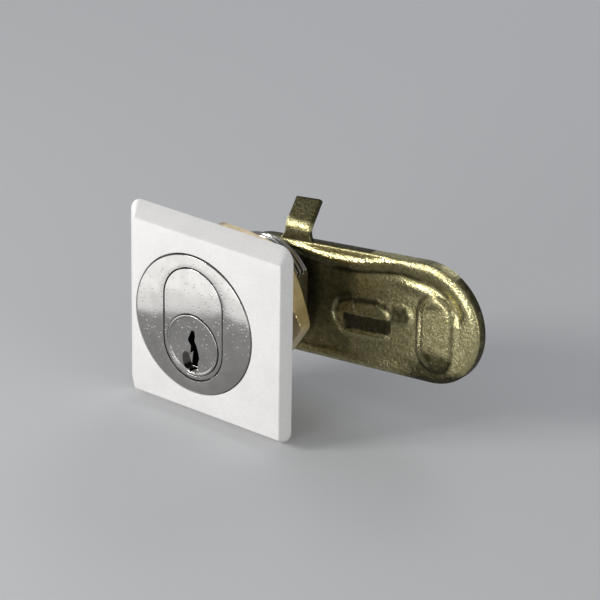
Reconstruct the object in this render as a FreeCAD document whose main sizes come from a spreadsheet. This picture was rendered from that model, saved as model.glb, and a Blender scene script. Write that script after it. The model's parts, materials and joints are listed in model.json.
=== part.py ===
"""Enclosure lock insert with a quarter-turn cam.

A square escutcheon plate carries a round lock housing.  The housing's threaded barrel passes
through the door panel and is held by a hexagon nut.  An oval pin cylinder sits in the housing,
and its plug turns a spindle, which carries the pressed cam behind the barrel.

Frame, in millimetres: +X to the right and +Z up as seen from the front, +Y into the enclosure.
The origin is on the barrel axis at the back face of the plate, where the plate meets the panel.
"""
import FreeCAD, Part
import Sketcher
import math
import os
import re

Vector = FreeCAD.Vector

# Driving dimensions: name, value in millimetres (or degrees, or a count) and what it is
DIMENSIONS = [
    ("plate_width", 50.0, "plate: width of the front face"),
    ("plate_height", 50.0, "plate: height of the front face"),
    ("plate_offset", 4.24, "plate: front face centre, right of the barrel axis"),
    ("plate_depth", 5.2, "plate: thickness"),
    ("flare_left", 5.3, "plate: how far the back stands out on the left"),
    ("flare_right", 0.2, "plate: how far the back stands out on the right"),
    ("flare_height", 3.4, "plate: how far the back stands out above and below"),
    ("plate_back_corner", 5.0, "plate: corner radius at the back"),
    ("plate_front_corner", 0.5, "plate: corner radius at the front"),
    ("recess_depth", 3.2, "plate: depth of the seat of the housing's disc"),
    ("disc_margin", 3.7, "housing: front disc beyond the ends of the oval"),
    ("disc_gap", 0.15, "clearance round the disc"),
    ("disc_proud", 0.2, "housing: how far the disc stands out of the plate"),
    ("disc_edge", 0.3, "housing: chamfer of the disc's front edge"),
    ("barrel_wall", 1.8, "housing: barrel's radius over the thread beyond the ends of the cylinder body"),
    ("barrel_flat", 13.0, "housing: distance of each flat from the barrel axis"),
    ("barrel_length", 27.0, "housing: barrel length behind the panel face"),
    ("barrel_gap", 0.1, "clearance between barrel and plate hole"),
    ("thread_pitch", 1.5, "housing: thread pitch"),
    ("thread_depth", 0.9, "housing: thread depth"),
    ("thread_crest", 0.24, "housing: flat left between two thread grooves"),
    ("thread_start", 2.5, "housing: plain length before the first groove"),
    ("thread_count", 16, "housing: number of thread grooves"),
    ("rear_wall", 4.4, "housing: thickness of the rear wall"),
    ("oval_width", 20.0, "cylinder: width of the oval head"),
    ("oval_height", 32.0, "cylinder: height of the oval head"),
    ("oval_depth", 3.2, "cylinder: thickness of the oval head"),
    ("oval_step", 1.8, "cylinder: step from the head to the body, all round"),
    ("oval_gap", 0.12, "clearance round the cylinder"),
    ("tail_room", 2.6, "cylinder: room for clip and collar between its body and the rear wall"),
    ("plug_head_radius", 8.7, "plug: radius of the head"),
    ("plug_head_depth", 1.6, "plug: thickness of the head"),
    ("plug_radius", 6.8, "plug: radius"),
    ("plug_gap", 0.05, "running clearance of the plug"),
    ("plug_tail_gap", 0.25, "clearance between the plug's tail and the spindle's collar"),
    ("plug_rim_width", 0.7, "plug: width of the raised rim"),
    ("plug_rim_height", 0.25, "plug: height of the raised rim"),
    ("key_wall", 1.0, "keyway: metal left between its end and the tongue's slot"),
    ("key_top", 4.2, "keyway: top above the plug axis"),
    ("key_foot", 8.0, "keyway: foot below the plug axis"),
    ("key_width", 1.9, "keyway: width of the upper part"),
    ("key_sway", 1.1, "keyway: how far its profile sways sideways"),
    ("key_side_depth", 1.9, "keyway: depth of the side groove at the lower left"),
    ("pin_radius", 1.2, "pins: radius"),
    ("pin_gap", 0.05, "clearance round the pins"),
    ("pin_first", 0.6, "pins: first stack behind the panel face"),
    ("pin_tail", 3.8, "pins: last stack in front of the cylinder body's rear end"),
    ("pin_shear_gap", 0.15, "pins: gap between a key pin and its driver pin"),
    ("pin_floor", 1.5, "key pins: lowest point of a dropped pin, above the plug axis"),
    ("pin_tip", 0.84, "key pins: length of the tapered tip"),
    ("pin_point", 0.48, "key pins: radius of the blunt point"),
    ("driver_length", 4.0, "driver pins: length"),
    ("cover_width", 4.0, "chamber cover: width"),
    ("cover_overhang", 1.0, "chamber cover: length beyond the outer pins"),
    ("cover_thickness", 1.2, "chamber cover: thickness"),
    ("cover_depth", 2.6, "chamber cover: underside below the top of the cylinder body"),
    ("spring_wire", 0.34, "pin springs: wire diameter"),
    ("spring_radius", 0.92, "pin springs: mean radius"),
    ("spring_turns", 7, "pin springs: number of turns"),
    ("spring_gap", 0.02, "pin springs: gap to their seats"),
    ("drill_pin_radius", 0.8, "anti-drill pins: radius"),
    ("drill_pin_side", 5.0, "anti-drill pins: distance from the middle"),
    ("drill_pin_foot", 8.0, "anti-drill pins: lower end above the plug axis"),
    ("drill_pin_depth", 2.8, "anti-drill pins: upper end below the top of the cylinder body"),
    ("clip_radius", 7.6, "plug clip: outer radius"),
    ("clip_inner", 5.6, "plug clip: groove radius"),
    ("clip_thickness", 0.8, "plug clip: thickness"),
    ("clip_gap", 0.06, "plug clip: side clearance"),
    ("clip_mouth", 9.0, "plug clip: width of its mouth"),
    ("spindle_radius", 5.45, "spindle: radius in the rear wall"),
    ("spindle_gap", 0.05, "running clearance of the spindle"),
    ("collar_radius", 7.2, "spindle: radius of the inner collar"),
    ("collar_thickness", 0.7, "spindle: thickness of the inner collar"),
    ("tongue_width", 2.4, "spindle: width of the driving tongue"),
    ("tongue_height", 9.4, "spindle: height of the driving tongue"),
    ("tongue_length", 2.1, "spindle: length of the driving tongue inside the plug"),
    ("tongue_gap", 0.1, "clearance beside the tongue"),
    ("tongue_end_gap", 0.5, "clearance in front of the tongue"),
    ("square_size", 8.0, "spindle: square across flats"),
    ("square_gap", 0.05, "clearance round the square"),
    ("lug_reach", 9.5, "stop disc: reach of the lug"),
    ("lug_angle", 24.0, "stop disc: angle covered by the lug"),
    ("lug_thickness", 1.2, "stop disc: thickness of the lug"),
    ("stop_radius", 6.6, "stop disc: radius"),
    ("stop_face_gap", 0.15, "gap between the rear wall and the stop disc"),
    ("stop_height", 2.4, "stop disc: thickness"),
    ("stop_pin_radius", 1.0, "stop pins: radius"),
    ("stop_pin_circle", 8.4, "stop pins: distance from the plug axis"),
    ("stop_pin_depth", 2.2, "stop pins: length in the rear wall"),
    ("stop_pin_over", 0.08, "stop pins: how far they pass the lug"),
    ("stop_pin_margin", 1.0, "stop pins: free angle left at each end of the turn, degrees"),
    ("cam_turn", 90.0, "cam: angle of turn"),
    ("hub_radius", 16.2, "cam: radius of the hub end"),
    ("hub_rise", -2.2, "cam: height of the hub end's centre"),
    ("cam_reach", 68.0, "cam: reach of the arm from the barrel axis"),
    ("head_radius", 17.0, "cam: radius of the rounded end"),
    ("head_rise", 3.2, "cam: height of the rounded end's centre"),
    ("sheet_thickness", 1.6, "cam: sheet thickness"),
    ("skirt_depth", 3.6, "cam: depth of the pressed edge"),
    ("bead_width", 2.8, "cam: width of the raised rim"),
    ("bead_height", 0.8, "cam: height of the raised rim over the pan"),
    ("bead_round", 1.1, "cam: radius of the rim's outer edge"),
    ("boss_place", 54.0, "cam: upright boss, distance from the barrel axis"),
    ("boss_rise", 0.9, "cam: upright boss, height of its centre"),
    ("boss_width", 11.5, "cam: upright boss, width"),
    ("boss_height", 22.0, "cam: upright boss, height"),
    ("boss_depth", 1.4, "cam: upright boss, how far it stands out"),
    ("rib_place", 29.5, "cam: oblong rib, distance from the barrel axis"),
    ("rib_rise", -1.2, "cam: oblong rib, height of its centre"),
    ("rib_length", 20.5, "cam: oblong rib, length"),
    ("rib_height", 12.5, "cam: oblong rib, height"),
    ("rib_depth", 1.1, "cam: oblong rib, how far it stands out"),
    ("nib_length", 11.0, "cam: small rib, length"),
    ("nib_height", 4.6, "cam: small rib, height"),
    ("nib_place", 41.0, "cam: small rib, distance from the barrel axis"),
    ("nib_rise", 1.0, "cam: small rib, height of its centre"),
    ("form_round", 0.9, "cam: edge radius of the pressed forms"),
    ("form_wall", 1.0, "cam: side wall of the pressed forms"),
    ("tab_width", 8.6, "cam: width of the bent tab"),
    ("tab_place", 7.4, "cam: middle of the tab, right of the barrel axis"),
    ("tab_rise", 25.6, "cam: top of the tab above the barrel axis"),
    ("tab_lean_angle", 38.0, "cam: how far the tab leans back, degrees"),
    ("tab_foot", 12.4, "cam: foot of the tab above the barrel axis"),
    ("tab_bend_start", 17.0, "cam: start of the tab's bend above the barrel axis"),
    ("tab_bend", 4.0, "cam: radius of the tab's bend at the middle of the sheet"),
    ("cam_washer_radius", 7.0, "cam washer: outer radius"),
    ("cam_washer_thickness", 1.0, "cam washer: thickness"),
    ("spring_washer_radius", 5.6, "spring washer: outer radius"),
    ("spring_washer_thickness", 1.4, "spring washer: thickness"),
    ("spring_washer_slit", 1.0, "spring washer: width of the slit"),
    ("screw_radius", 3.0, "cam screw: thread radius"),
    ("screw_gap", 0.15, "clearance round the cam screw in its washers"),
    ("screw_floor", 1.3, "spindle: solid metal in front of the cam screw's tip"),
    ("screw_head_size", 10.0, "cam screw: head across flats"),
    ("screw_head_height", 4.0, "cam screw: head height"),
    ("nut_wall", 3.0, "nut: least metal outside the barrel"),
    ("nut_thickness", 6.0, "nut: thickness"),
    ("nut_rear", 18.6, "nut: rear face behind the panel face"),
    ("nut_turn", 5.0, "nut: angle of one corner below the right-hand side, degrees"),
    ("nut_gap", 0.05, "clearance between nut and thread crests"),
    ("nut_chamfer", 0.5, "nut: radial depth of the corner chamfer inside the flats"),
    ("nut_chamfer_slope", 3.0, "nut: radial growth of the chamfer for each millimetre of thickness"),
    ("lock_washer_rim", 2.8, "lock washer: outer radius beyond the barrel"),
    ("lock_washer_thickness", 1.1, "lock washer: thickness"),
    ("lock_washer_teeth", 18, "lock washer: number of notches"),
    ("notch_size", 1.6, "lock washer: notch width"),
    ("gasket_margin", 1.3, "panel gasket: inner radius beyond the housing's disc"),
    ("gasket_width", 3.0, "panel gasket: width of the ring"),
    ("gasket_thickness", 1.2, "panel gasket: thickness"),
    ("seal_margin", 2.0, "flange seal: middle of its section beyond the ends of the oval"),
    ("seal_section", 0.5, "flange seal: radius of its section"),
    ("seal_gap", 0.05, "clearance round the flange seal"),
    ("body_screw_side", 5.6, "cylinder screws: distance from the middle"),
    ("body_screw_rise", 2.0, "cylinder screws: height above the centre of the oval's upper end"),
    ("body_screw_radius", 1.25, "cylinder screws: thread radius"),
    ("body_screw_head", 2.3, "cylinder screws: head radius"),
    ("body_screw_head_depth", 1.6, "cylinder screws: head height"),
    ("body_screw_slot", 0.6, "cylinder screws: width of the slot"),
    ("body_screw_grip", 6.0, "cylinder screws: length in the cylinder body"),
    ("body_screw_gap", 0.1, "clearance round the cylinder screws in the rear wall"),
]

# Key pin lengths, front to back: one cut of the key each
KEY_PIN_LENGTHS = [
    ("key_cut_1", 3.6),
    ("key_cut_2", 4.4),
    ("key_cut_3", 3.2),
    ("key_cut_4", 4.0),
    ("key_cut_5", 3.7),
]

DOC = FreeCAD.newDocument("enclosure_lock_insert")
SHEET = DOC.addObject("Spreadsheet::Sheet", "Sizes")
ALONG_Y = FreeCAD.Rotation(Vector(1, 0, 0), -90)
NODES = []


def fill_sheet():
    """Write every driving dimension into the sheet, with its alias and its meaning."""
    notes = [(name, value, "key pins: length") for name, value in KEY_PIN_LENGTHS]
    for row, (name, value, note) in enumerate(DIMENSIONS + notes, start=1):
        SHEET.set(f"A{row}", note)
        SHEET.set(f"B{row}", str(value))
        SHEET.setAlias(f"B{row}", name)
    DOC.recompute()
    return {name for name, _, _ in DIMENSIONS + notes}


ALIASES = fill_sheet()


def formula(text):
    """The sheet formula for `text`, in which dimensions stand by their plain names."""
    return re.sub(r"[a-z_]\w*", lambda m: "Sizes." + m.group() if m.group() in ALIASES else m.group(), text)


def read(name):
    """The value of one driving dimension."""
    return float(SHEET.get(name))


def sum_of(*names):
    """The sum of several dimensions; a name with a leading minus is taken away."""
    return sum(-read(name[1:]) if name.startswith("-") else read(name) for name in names)


def bind(item, **places):
    """Bind properties of an object to formulas; x, y and z are its place."""
    for name, text in places.items():
        path = f"Placement.Base.{name}" if name in ("x", "y", "z") else name
        item.setExpression(path, formula(str(text)))
    return item


# Shared places, worked out from the driving dimensions
DISC_FRONT = "(-plate_depth - disc_proud)"
DISC_BACK = "(recess_depth - plate_depth)"
BODY_STEP = "(oval_depth - plate_depth - disc_proud)"
PLUG_AXIS = "(-(oval_height - oval_width) / 2)"
PLUG_FRONT = "(-plate_depth - disc_proud)"
DISC_RADIUS = "(oval_height / 2 + disc_margin)"
BARREL_RADIUS = "(oval_height / 2 - oval_step + barrel_wall)"
NUT_SIZE = f"(2 * ({BARREL_RADIUS} + nut_wall))"
WASHER_RADIUS = f"({BARREL_RADIUS} + lock_washer_rim)"
GASKET_INNER = f"({DISC_RADIUS} + gasket_margin)"
GASKET_OUTER = f"({GASKET_INNER} + gasket_width)"
SEAL_RADIUS = "(oval_height / 2 + seal_margin)"
WALL_FRONT = "(barrel_length - rear_wall)"
BODY_BACK = "(barrel_length - rear_wall - tail_room)"
COLLAR_FRONT = "(barrel_length - rear_wall - spindle_gap - collar_thickness)"
PLUG_BACK = f"({COLLAR_FRONT} - plug_tail_gap)"
TONGUE_FRONT = f"({PLUG_BACK} - tongue_length)"
SCREW_TIP = f"({COLLAR_FRONT} + screw_floor)"
SHOULDER = "(barrel_length + stop_face_gap)"
HUB_BACK = "(barrel_length + stop_face_gap + stop_height + sheet_thickness)"
SHEAR_LINE = "(plug_radius - (oval_height - oval_width) / 2)"
UPPER_END = "((oval_height - oval_width) / 2)"
COVER_FOOT = "(oval_height / 2 - oval_step - cover_depth)"
SCREW_RISE = f"({UPPER_END} + body_screw_rise)"
DRILL_FOOT = f"({PLUG_AXIS} + drill_pin_foot)"
DRILL_LENGTH = f"(oval_height / 2 - oval_step - drill_pin_depth - {DRILL_FOOT})"
KEY_PIN_TOP = "(plug_radius - (oval_height - oval_width) / 2 - pin_shear_gap / 2)"
# The square ends a little inside the cam's sheet, so that the washer clamps the sheet
SQUARE_END = "(barrel_length + stop_face_gap + stop_height + sheet_thickness - square_gap * 2)"
SEAL_GROOVE = "(2 * seal_section + seal_gap)"
PIN_SPACING = f"(({BODY_BACK} - pin_tail - pin_first) / {len(KEY_PIN_LENGTHS) - 1})"


def cylinder(name, radius, start, length, x="0", z="0"):
    """A round bar along +Y that starts at y = start."""
    item = DOC.addObject("Part::Cylinder", name)
    item.Placement = FreeCAD.Placement(Vector(), ALONG_Y)
    return bind(item, Radius=radius, Height=length, x=x, y=start, z=z)


def upright(name, radius, foot, length, x="0", y="0"):
    """A round bar along +Z that starts at z = foot."""
    item = DOC.addObject("Part::Cylinder", name)
    return bind(item, Radius=radius, Height=length, x=x, y=y, z=foot)


def cone(name, radius_1, radius_2, start, length, x="0", z="0"):
    """A cone along +Y from radius_1 at y = start to radius_2."""
    item = DOC.addObject("Part::Cone", name)
    item.Placement = FreeCAD.Placement(Vector(), ALONG_Y)
    return bind(item, Radius1=radius_1, Radius2=radius_2, Height=length, x=x, y=start, z=z)


def block(name, width, depth, height, x, y, z):
    """A box centred on x and z that starts at y."""
    item = DOC.addObject("Part::Box", name)
    return bind(item, Length=width, Width=depth, Height=height, x=f"{x} - ({width}) / 2", y=y,
                z=f"{z} - ({height}) / 2")


def fuse(name, *items):
    """The union of several objects."""
    item = DOC.addObject("Part::MultiFuse", name)
    item.Shapes = list(items)
    item.Refine = True
    return item


def common(name, *items):
    """What several objects share."""
    item = DOC.addObject("Part::MultiCommon", name)
    item.Shapes = list(items)
    item.Refine = True
    return item


def cut(name, base, *tools):
    """The base with the tools taken away."""
    item = DOC.addObject("Part::Cut", name)
    item.Base = base
    item.Tool = tools[0] if len(tools) == 1 else fuse(name + "_tools", *tools)
    item.Refine = True
    return item


def group(name, *items):
    """Several separate solids of one node."""
    item = DOC.addObject("Part::Compound", name)
    item.Links = list(items)
    return item


def stadium(name, width, height, start, length, x="0", z="0"):
    """An upright oval bar along +Y with round ends."""
    half = f"({height} - ({width})) / 2"
    middle = block(name + "_middle", width, length, f"{height} - ({width})", x, start, z)
    top = cylinder(name + "_top", f"({width}) / 2", start, length, x, f"{z} + {half}")
    foot = cylinder(name + "_foot", f"({width}) / 2", start, length, x, f"{z} - {half}")
    return fuse(name, middle, top, foot)


def node(item, name):
    """Give a finished sub-part its name."""
    item.Label = name
    NODES.append((name, item))
    return item


def shaped(name, shape):
    """A sub-part whose form is worked out below from the sheet's values."""
    item = DOC.addObject("Part::Feature", name + "_form")
    item.Shape = shape
    return node(item, name)


def origin_plane(body, role):
    """One of a body's own origin planes or axes."""
    return next(feature for feature in body.Origin.OriginFeatures if feature.Role == role)


def sketch_at(body, name, place, role="XZ_Plane"):
    """A sketch on the body's upright plane at y = place; its own normal points to -Y."""
    sketch = body.newObject("Sketcher::SketchObject", name)
    sketch.AttachmentSupport = [(origin_plane(body, role), "")]
    sketch.MapMode = "FlatFace"
    if role == "XZ_Plane":
        sketch.setExpression("AttachmentOffset.Base.z", formula(f"-({place})"))
    return sketch


def constrain(sketch, name, text, *parts):
    """Add one named dimension to a sketch and bind it to a formula."""
    index = sketch.addConstraint(Sketcher.Constraint(*parts))
    sketch.renameConstraint(index, name)
    sketch.setExpression(f".Constraints.{name}", formula(text))


def rounded_frame(sketch, left, right, half, corner):
    """A rectangle with round corners, from -left to right and -half to half, counter-clockwise."""
    x0, x1, h, r = -left[1], right[1], half[1], corner[1]
    lines = [((x0 + r, -h), (x1 - r, -h)), ((x1, -h + r), (x1, h - r)),
             ((x1 - r, h), (x0 + r, h)), ((x0, h - r), (x0, -h + r))]
    centres = [(x1 - r, -h + r), (x1 - r, h - r), (x0 + r, h - r), (x0 + r, -h + r)]
    for turn, (line, centre) in enumerate(zip(lines, centres)):
        sketch.addGeometry(Part.LineSegment(Vector(*line[0], 0), Vector(*line[1], 0)), False)
        circle = Part.Circle(Vector(*centre, 0), Vector(0, 0, 1), r)
        first = (turn - 1) * math.pi / 2
        sketch.addGeometry(Part.ArcOfCircle(circle, first, first + math.pi / 2), False)
    for index in range(8):
        sketch.addConstraint(Sketcher.Constraint("Tangent", index, 2, (index + 1) % 8, 1))
    for index in (0, 4):
        sketch.addConstraint(Sketcher.Constraint("Horizontal", index))
        sketch.addConstraint(Sketcher.Constraint("Vertical", index + 2))
    for index in (3, 5, 7):
        sketch.addConstraint(Sketcher.Constraint("Equal", 1, index))
    constrain(sketch, "corner", corner[0], "Radius", 1, r)
    constrain(sketch, "left", left[0], "DistanceX", 6, 1, -1, 1, -x0)
    constrain(sketch, "right", right[0], "DistanceX", -1, 1, 2, 1, x1)
    constrain(sketch, "above", half[0], "DistanceY", -1, 1, 4, 1, h)
    constrain(sketch, "below", half[0], "DistanceY", 0, 1, -1, 1, h)


def pad(body, name, sketch, length):
    """Push a sketch back along +Y."""
    item = body.newObject("PartDesign::Pad", name)
    item.Profile = sketch
    item.Reversed = True
    return bind(item, Length=length)


def pocket(body, name, sketch, length):
    """Cut a sketch out, back along +Y."""
    item = body.newObject("PartDesign::Pocket", name)
    item.Profile = sketch
    return bind(item, Length=length)


def round_sketch(body, name, place, radius):
    """A circle round the barrel axis in a sketch at y = place."""
    sketch = sketch_at(body, name, place)
    sketch.addGeometry(Part.Circle(Vector(0, 0, 0), Vector(0, 0, 1), 1.0), False)
    sketch.addConstraint(Sketcher.Constraint("Coincident", 0, 3, -1, 1))
    constrain(sketch, "radius", radius, "Radius", 0, 1.0)
    return sketch


def flat_sided_sketch(body, name, place, radius, flat):
    """A circle with its two sides cut flat at x = -flat and x = flat."""
    sketch = sketch_at(body, name, place)
    half = math.degrees(math.acos(flat[1] / radius[1]))
    circle = Part.Circle(Vector(0, 0, 0), Vector(0, 0, 1), radius[1])
    ends = [math.radians(angle) for angle in (half, 180 - half, 180 + half, 360 - half)]
    reach = radius[1] * math.sin(ends[0])
    sketch.addGeometry(Part.ArcOfCircle(circle, ends[0], ends[1]), False)
    sketch.addGeometry(Part.LineSegment(Vector(-flat[1], reach, 0), Vector(-flat[1], -reach, 0)), False)
    sketch.addGeometry(Part.ArcOfCircle(circle, ends[2], ends[3]), False)
    sketch.addGeometry(Part.LineSegment(Vector(flat[1], -reach, 0), Vector(flat[1], reach, 0)), False)
    for index in range(4):
        sketch.addConstraint(Sketcher.Constraint("Coincident", index, 2, (index + 1) % 4, 1))
    for index in (0, 2):
        sketch.addConstraint(Sketcher.Constraint("Coincident", index, 3, -1, 1))
    for index in (1, 3):
        sketch.addConstraint(Sketcher.Constraint("Vertical", index))
    constrain(sketch, "radius", radius[0], "Radius", 0, radius[1])
    constrain(sketch, "flat_left", flat[0], "DistanceX", 1, 1, -1, 1, flat[1])
    constrain(sketch, "flat_right", flat[0], "DistanceX", -1, 1, 3, 1, flat[1])
    return sketch


def body_named(name):
    """An empty body for one sub-part."""
    return DOC.addObject("PartDesign::Body", name + "_body")


# The lug stands to the right at rest and meets a pin at each end of its turn
STOP_CLEARANCE = "lug_angle / 2 + stop_pin_margin + stop_pin_radius / stop_pin_circle * 180 / pi"
STOP_ANGLES = [f"(-({STOP_CLEARANCE}))", f"(cam_turn + {STOP_CLEARANCE})"]
COVER_START = "(pin_first - pin_radius - cover_overhang)"
COVER_LENGTH = f"({BODY_BACK} - pin_tail - pin_first + 2 * pin_radius + 2 * cover_overhang)"
DRILL_PIN_PLACE = f"({BODY_STEP} + 2 * drill_pin_radius)"
DRIVER_FOOT = f"({SHEAR_LINE} + plug_gap + pin_shear_gap / 2)"


def pin_place(index):
    """Distance of one pin stack behind the panel face."""
    return f"(pin_first + {index} * {PIN_SPACING})"


def barrel_radius():
    """The barrel's radius over the thread, in millimetres."""
    return read("oval_height") / 2 + sum_of("-oval_step", "barrel_wall")


def stop_pin_bar(name, angle, length):
    """A bar on the stop pins' circle, from inside the rear wall."""
    return cylinder(name, "stop_pin_radius", "barrel_length - stop_pin_depth", length,
                    f"stop_pin_circle * cos({angle})", f"{PLUG_AXIS} + stop_pin_circle * sin({angle})")


def make_face_plate():
    """The painted plate: sides drafted out towards the back, a seat for the disc and a double-D hole."""
    body = body_named("face_plate")
    back = sketch_at(body, "plate_back", "0")
    half_width = "plate_width / 2"
    rounded_frame(
        back,
        (f"{half_width} - plate_offset + flare_left",
         read("plate_width") / 2 - read("plate_offset") + read("flare_left")),
        (f"{half_width} + plate_offset + flare_right",
         read("plate_width") / 2 + read("plate_offset") + read("flare_right")),
        ("plate_height / 2 + flare_height", read("plate_height") / 2 + read("flare_height")),
        ("plate_back_corner", read("plate_back_corner")))
    front = sketch_at(body, "plate_front", "-plate_depth")
    rounded_frame(
        front,
        (f"{half_width} - plate_offset", read("plate_width") / 2 - read("plate_offset")),
        (f"{half_width} + plate_offset", read("plate_width") / 2 + read("plate_offset")),
        ("plate_height / 2", read("plate_height") / 2),
        ("plate_front_corner", read("plate_front_corner")))
    loft = body.newObject("PartDesign::AdditiveLoft", "plate_sides")
    loft.Profile = back
    loft.Sections = [front]
    loft.Ruled = True
    DOC.recompute()
    seat = round_sketch(body, "disc_seat_outline", "-plate_depth", f"{DISC_RADIUS} + disc_gap")
    pocket(body, "disc_seat", seat, "recess_depth")
    hole = flat_sided_sketch(body, "barrel_hole_outline", "-plate_depth",
                             (f"{BARREL_RADIUS} + barrel_gap", barrel_radius() + read("barrel_gap")),
                             ("barrel_flat + barrel_gap", read("barrel_flat") + read("barrel_gap")))
    pocket(body, "barrel_hole", hole, "plate_depth")
    groove = round_sketch(body, "gasket_groove_outline", "-gasket_thickness", GASKET_OUTER)
    inner = read("oval_height") / 2 + sum_of("disc_margin", "gasket_margin")
    groove.addGeometry(Part.Circle(Vector(0, 0, 0), Vector(0, 0, 1), inner), False)
    groove.addConstraint(Sketcher.Constraint("Coincident", 1, 3, -1, 1))
    constrain(groove, "inner", GASKET_INNER, "Radius", 1, inner)
    pocket(body, "gasket_groove", groove, "gasket_thickness")
    node(body, "face_plate")


def make_panel_gasket():
    """The flat ring in the plate's back that seals against the panel."""
    outer = cylinder("gasket_outside", GASKET_OUTER, "-gasket_thickness", "gasket_thickness")
    inner = cylinder("gasket_inside", GASKET_INNER, "-gasket_thickness - 1", "gasket_thickness + 2")
    node(cut("panel_gasket_form", outer, inner), "panel_gasket")


def thread_groove(body):
    """One V groove round the barrel, repeated along it by the thread pitch."""
    vee = body.newObject("Sketcher::SketchObject", "thread_vee")
    vee.AttachmentSupport = [(origin_plane(body, "XY_Plane"), "")]
    vee.MapMode = "FlatFace"
    outer, depth = barrel_radius(), read("thread_depth")
    middle, half = read("thread_start"), (read("thread_pitch") - read("thread_crest")) / 2
    over = outer + depth / 3
    corners = [(outer - depth, middle), (over, middle - half), (over, middle + half)]
    for (xa, ya), (xb, yb) in zip(corners, corners[1:] + corners[:1]):
        vee.addGeometry(Part.LineSegment(Vector(xa, ya, 0), Vector(xb, yb, 0)), False)
    for index in range(3):
        vee.addConstraint(Sketcher.Constraint("Coincident", index, 2, (index + 1) % 3, 1))
    vee.addConstraint(Sketcher.Constraint("Vertical", 1))
    vee.addConstraint(Sketcher.Constraint("Equal", 0, 2))
    constrain(vee, "root", f"{BARREL_RADIUS} - thread_depth", "DistanceX", -1, 1, 0, 1, outer - depth)
    constrain(vee, "crest", f"{BARREL_RADIUS} + thread_depth / 3", "DistanceX", -1, 1, 1, 1, over)
    constrain(vee, "place", "thread_start", "DistanceY", -1, 1, 0, 1, middle)
    constrain(vee, "opening", "thread_pitch - thread_crest", "DistanceY", 1, 1, 1, 2, 2 * half)
    groove = body.newObject("PartDesign::Groove", "thread_groove")
    groove.Profile = vee
    groove.ReferenceAxis = (vee, ["V_Axis"])
    groove.Angle = 360.0
    DOC.recompute()
    thread = body.newObject("PartDesign::LinearPattern", "thread")
    thread.Originals = [groove]
    thread.Direction = (origin_plane(body, "Y_Axis"), [""])
    bind(thread, Length="thread_pitch * (thread_count - 1)", Occurrences="thread_count")
    body.Tip = thread
    DOC.recompute()


def make_lock_housing():
    """The nickel-plated housing: front disc, threaded double-D barrel, oval bore and rear wall."""
    body = body_named("lock_housing")
    disc = round_sketch(body, "disc_outline", DISC_FRONT, DISC_RADIUS)
    pad(body, "disc", disc, "recess_depth + disc_proud")
    barrel = flat_sided_sketch(body, "barrel_outline", DISC_BACK, (BARREL_RADIUS, barrel_radius()),
                               ("barrel_flat", read("barrel_flat")))
    pad(body, "barrel", barrel, f"barrel_length - {DISC_BACK}")
    DOC.recompute()
    thread_groove(body)
    rim = cone("disc_edge_cone", f"{DISC_RADIUS} - disc_edge", f"{DISC_RADIUS} + 2 * disc_edge",
               DISC_FRONT, "3 * disc_edge")
    behind = cylinder("disc_edge_rest", f"{DISC_RADIUS} + 2 * disc_edge", f"{DISC_FRONT} + 3 * disc_edge",
                      "barrel_length + plate_depth")
    blank = common("housing_blank", body, fuse("disc_edge_form", rim, behind))
    gap = "2 * oval_gap"
    tools = [
        stadium("head_bore", f"oval_width + {gap}", f"oval_height + {gap}", f"{DISC_FRONT} - 1",
                "1 + oval_depth + oval_gap"),
        stadium("body_bore", f"oval_width - 2 * oval_step + {gap}",
                f"oval_height - 2 * oval_step + {gap}", f"{DISC_FRONT} - 1",
                f"{WALL_FRONT} - {DISC_FRONT} + 1"),
        cylinder("spindle_bore", "spindle_radius + spindle_gap", f"{WALL_FRONT} - 1", "rear_wall + 2",
                 z=PLUG_AXIS),
    ]
    for side, sign in (("left", "-1"), ("right", "1")):
        place = f"{sign} * body_screw_side"
        tools.append(cylinder(f"screw_hole_{side}", "body_screw_radius + body_screw_gap",
                              f"{WALL_FRONT} - 1", "rear_wall + 2", place, SCREW_RISE))
        tools.append(cylinder(f"screw_seat_{side}", "body_screw_head + body_screw_gap",
                              "barrel_length - body_screw_head_depth", "body_screw_head_depth + 1", place,
                              SCREW_RISE))
    tools += [stop_pin_bar(f"stop_pin_hole_{index}", angle, "stop_pin_depth + 1")
              for index, angle in enumerate(STOP_ANGLES)]
    groove = f"{DISC_BACK} - {SEAL_GROOVE}"
    tools.append(cut("seal_groove",
                     cylinder("seal_groove_outside", f"{SEAL_RADIUS} + seal_section + seal_gap", groove,
                              f"{SEAL_GROOVE} + 1"),
                     cylinder("seal_groove_inside", f"{SEAL_RADIUS} - seal_section - seal_gap",
                              f"{groove} - 1", f"{SEAL_GROOVE} + 3")))
    node(cut("lock_housing_form", blank, *tools), "lock_housing")


def make_flange_seal():
    """The round rubber ring between the disc and the plate, in a groove of the disc's back."""
    ring = DOC.addObject("Part::Torus", "flange_seal_form")
    ring.Placement = FreeCAD.Placement(Vector(), ALONG_Y)
    bind(ring, Radius1=SEAL_RADIUS, Radius2="seal_section", y=f"{DISC_BACK} - {SEAL_GROOVE} / 2")
    node(ring, "flange_seal")


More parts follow.
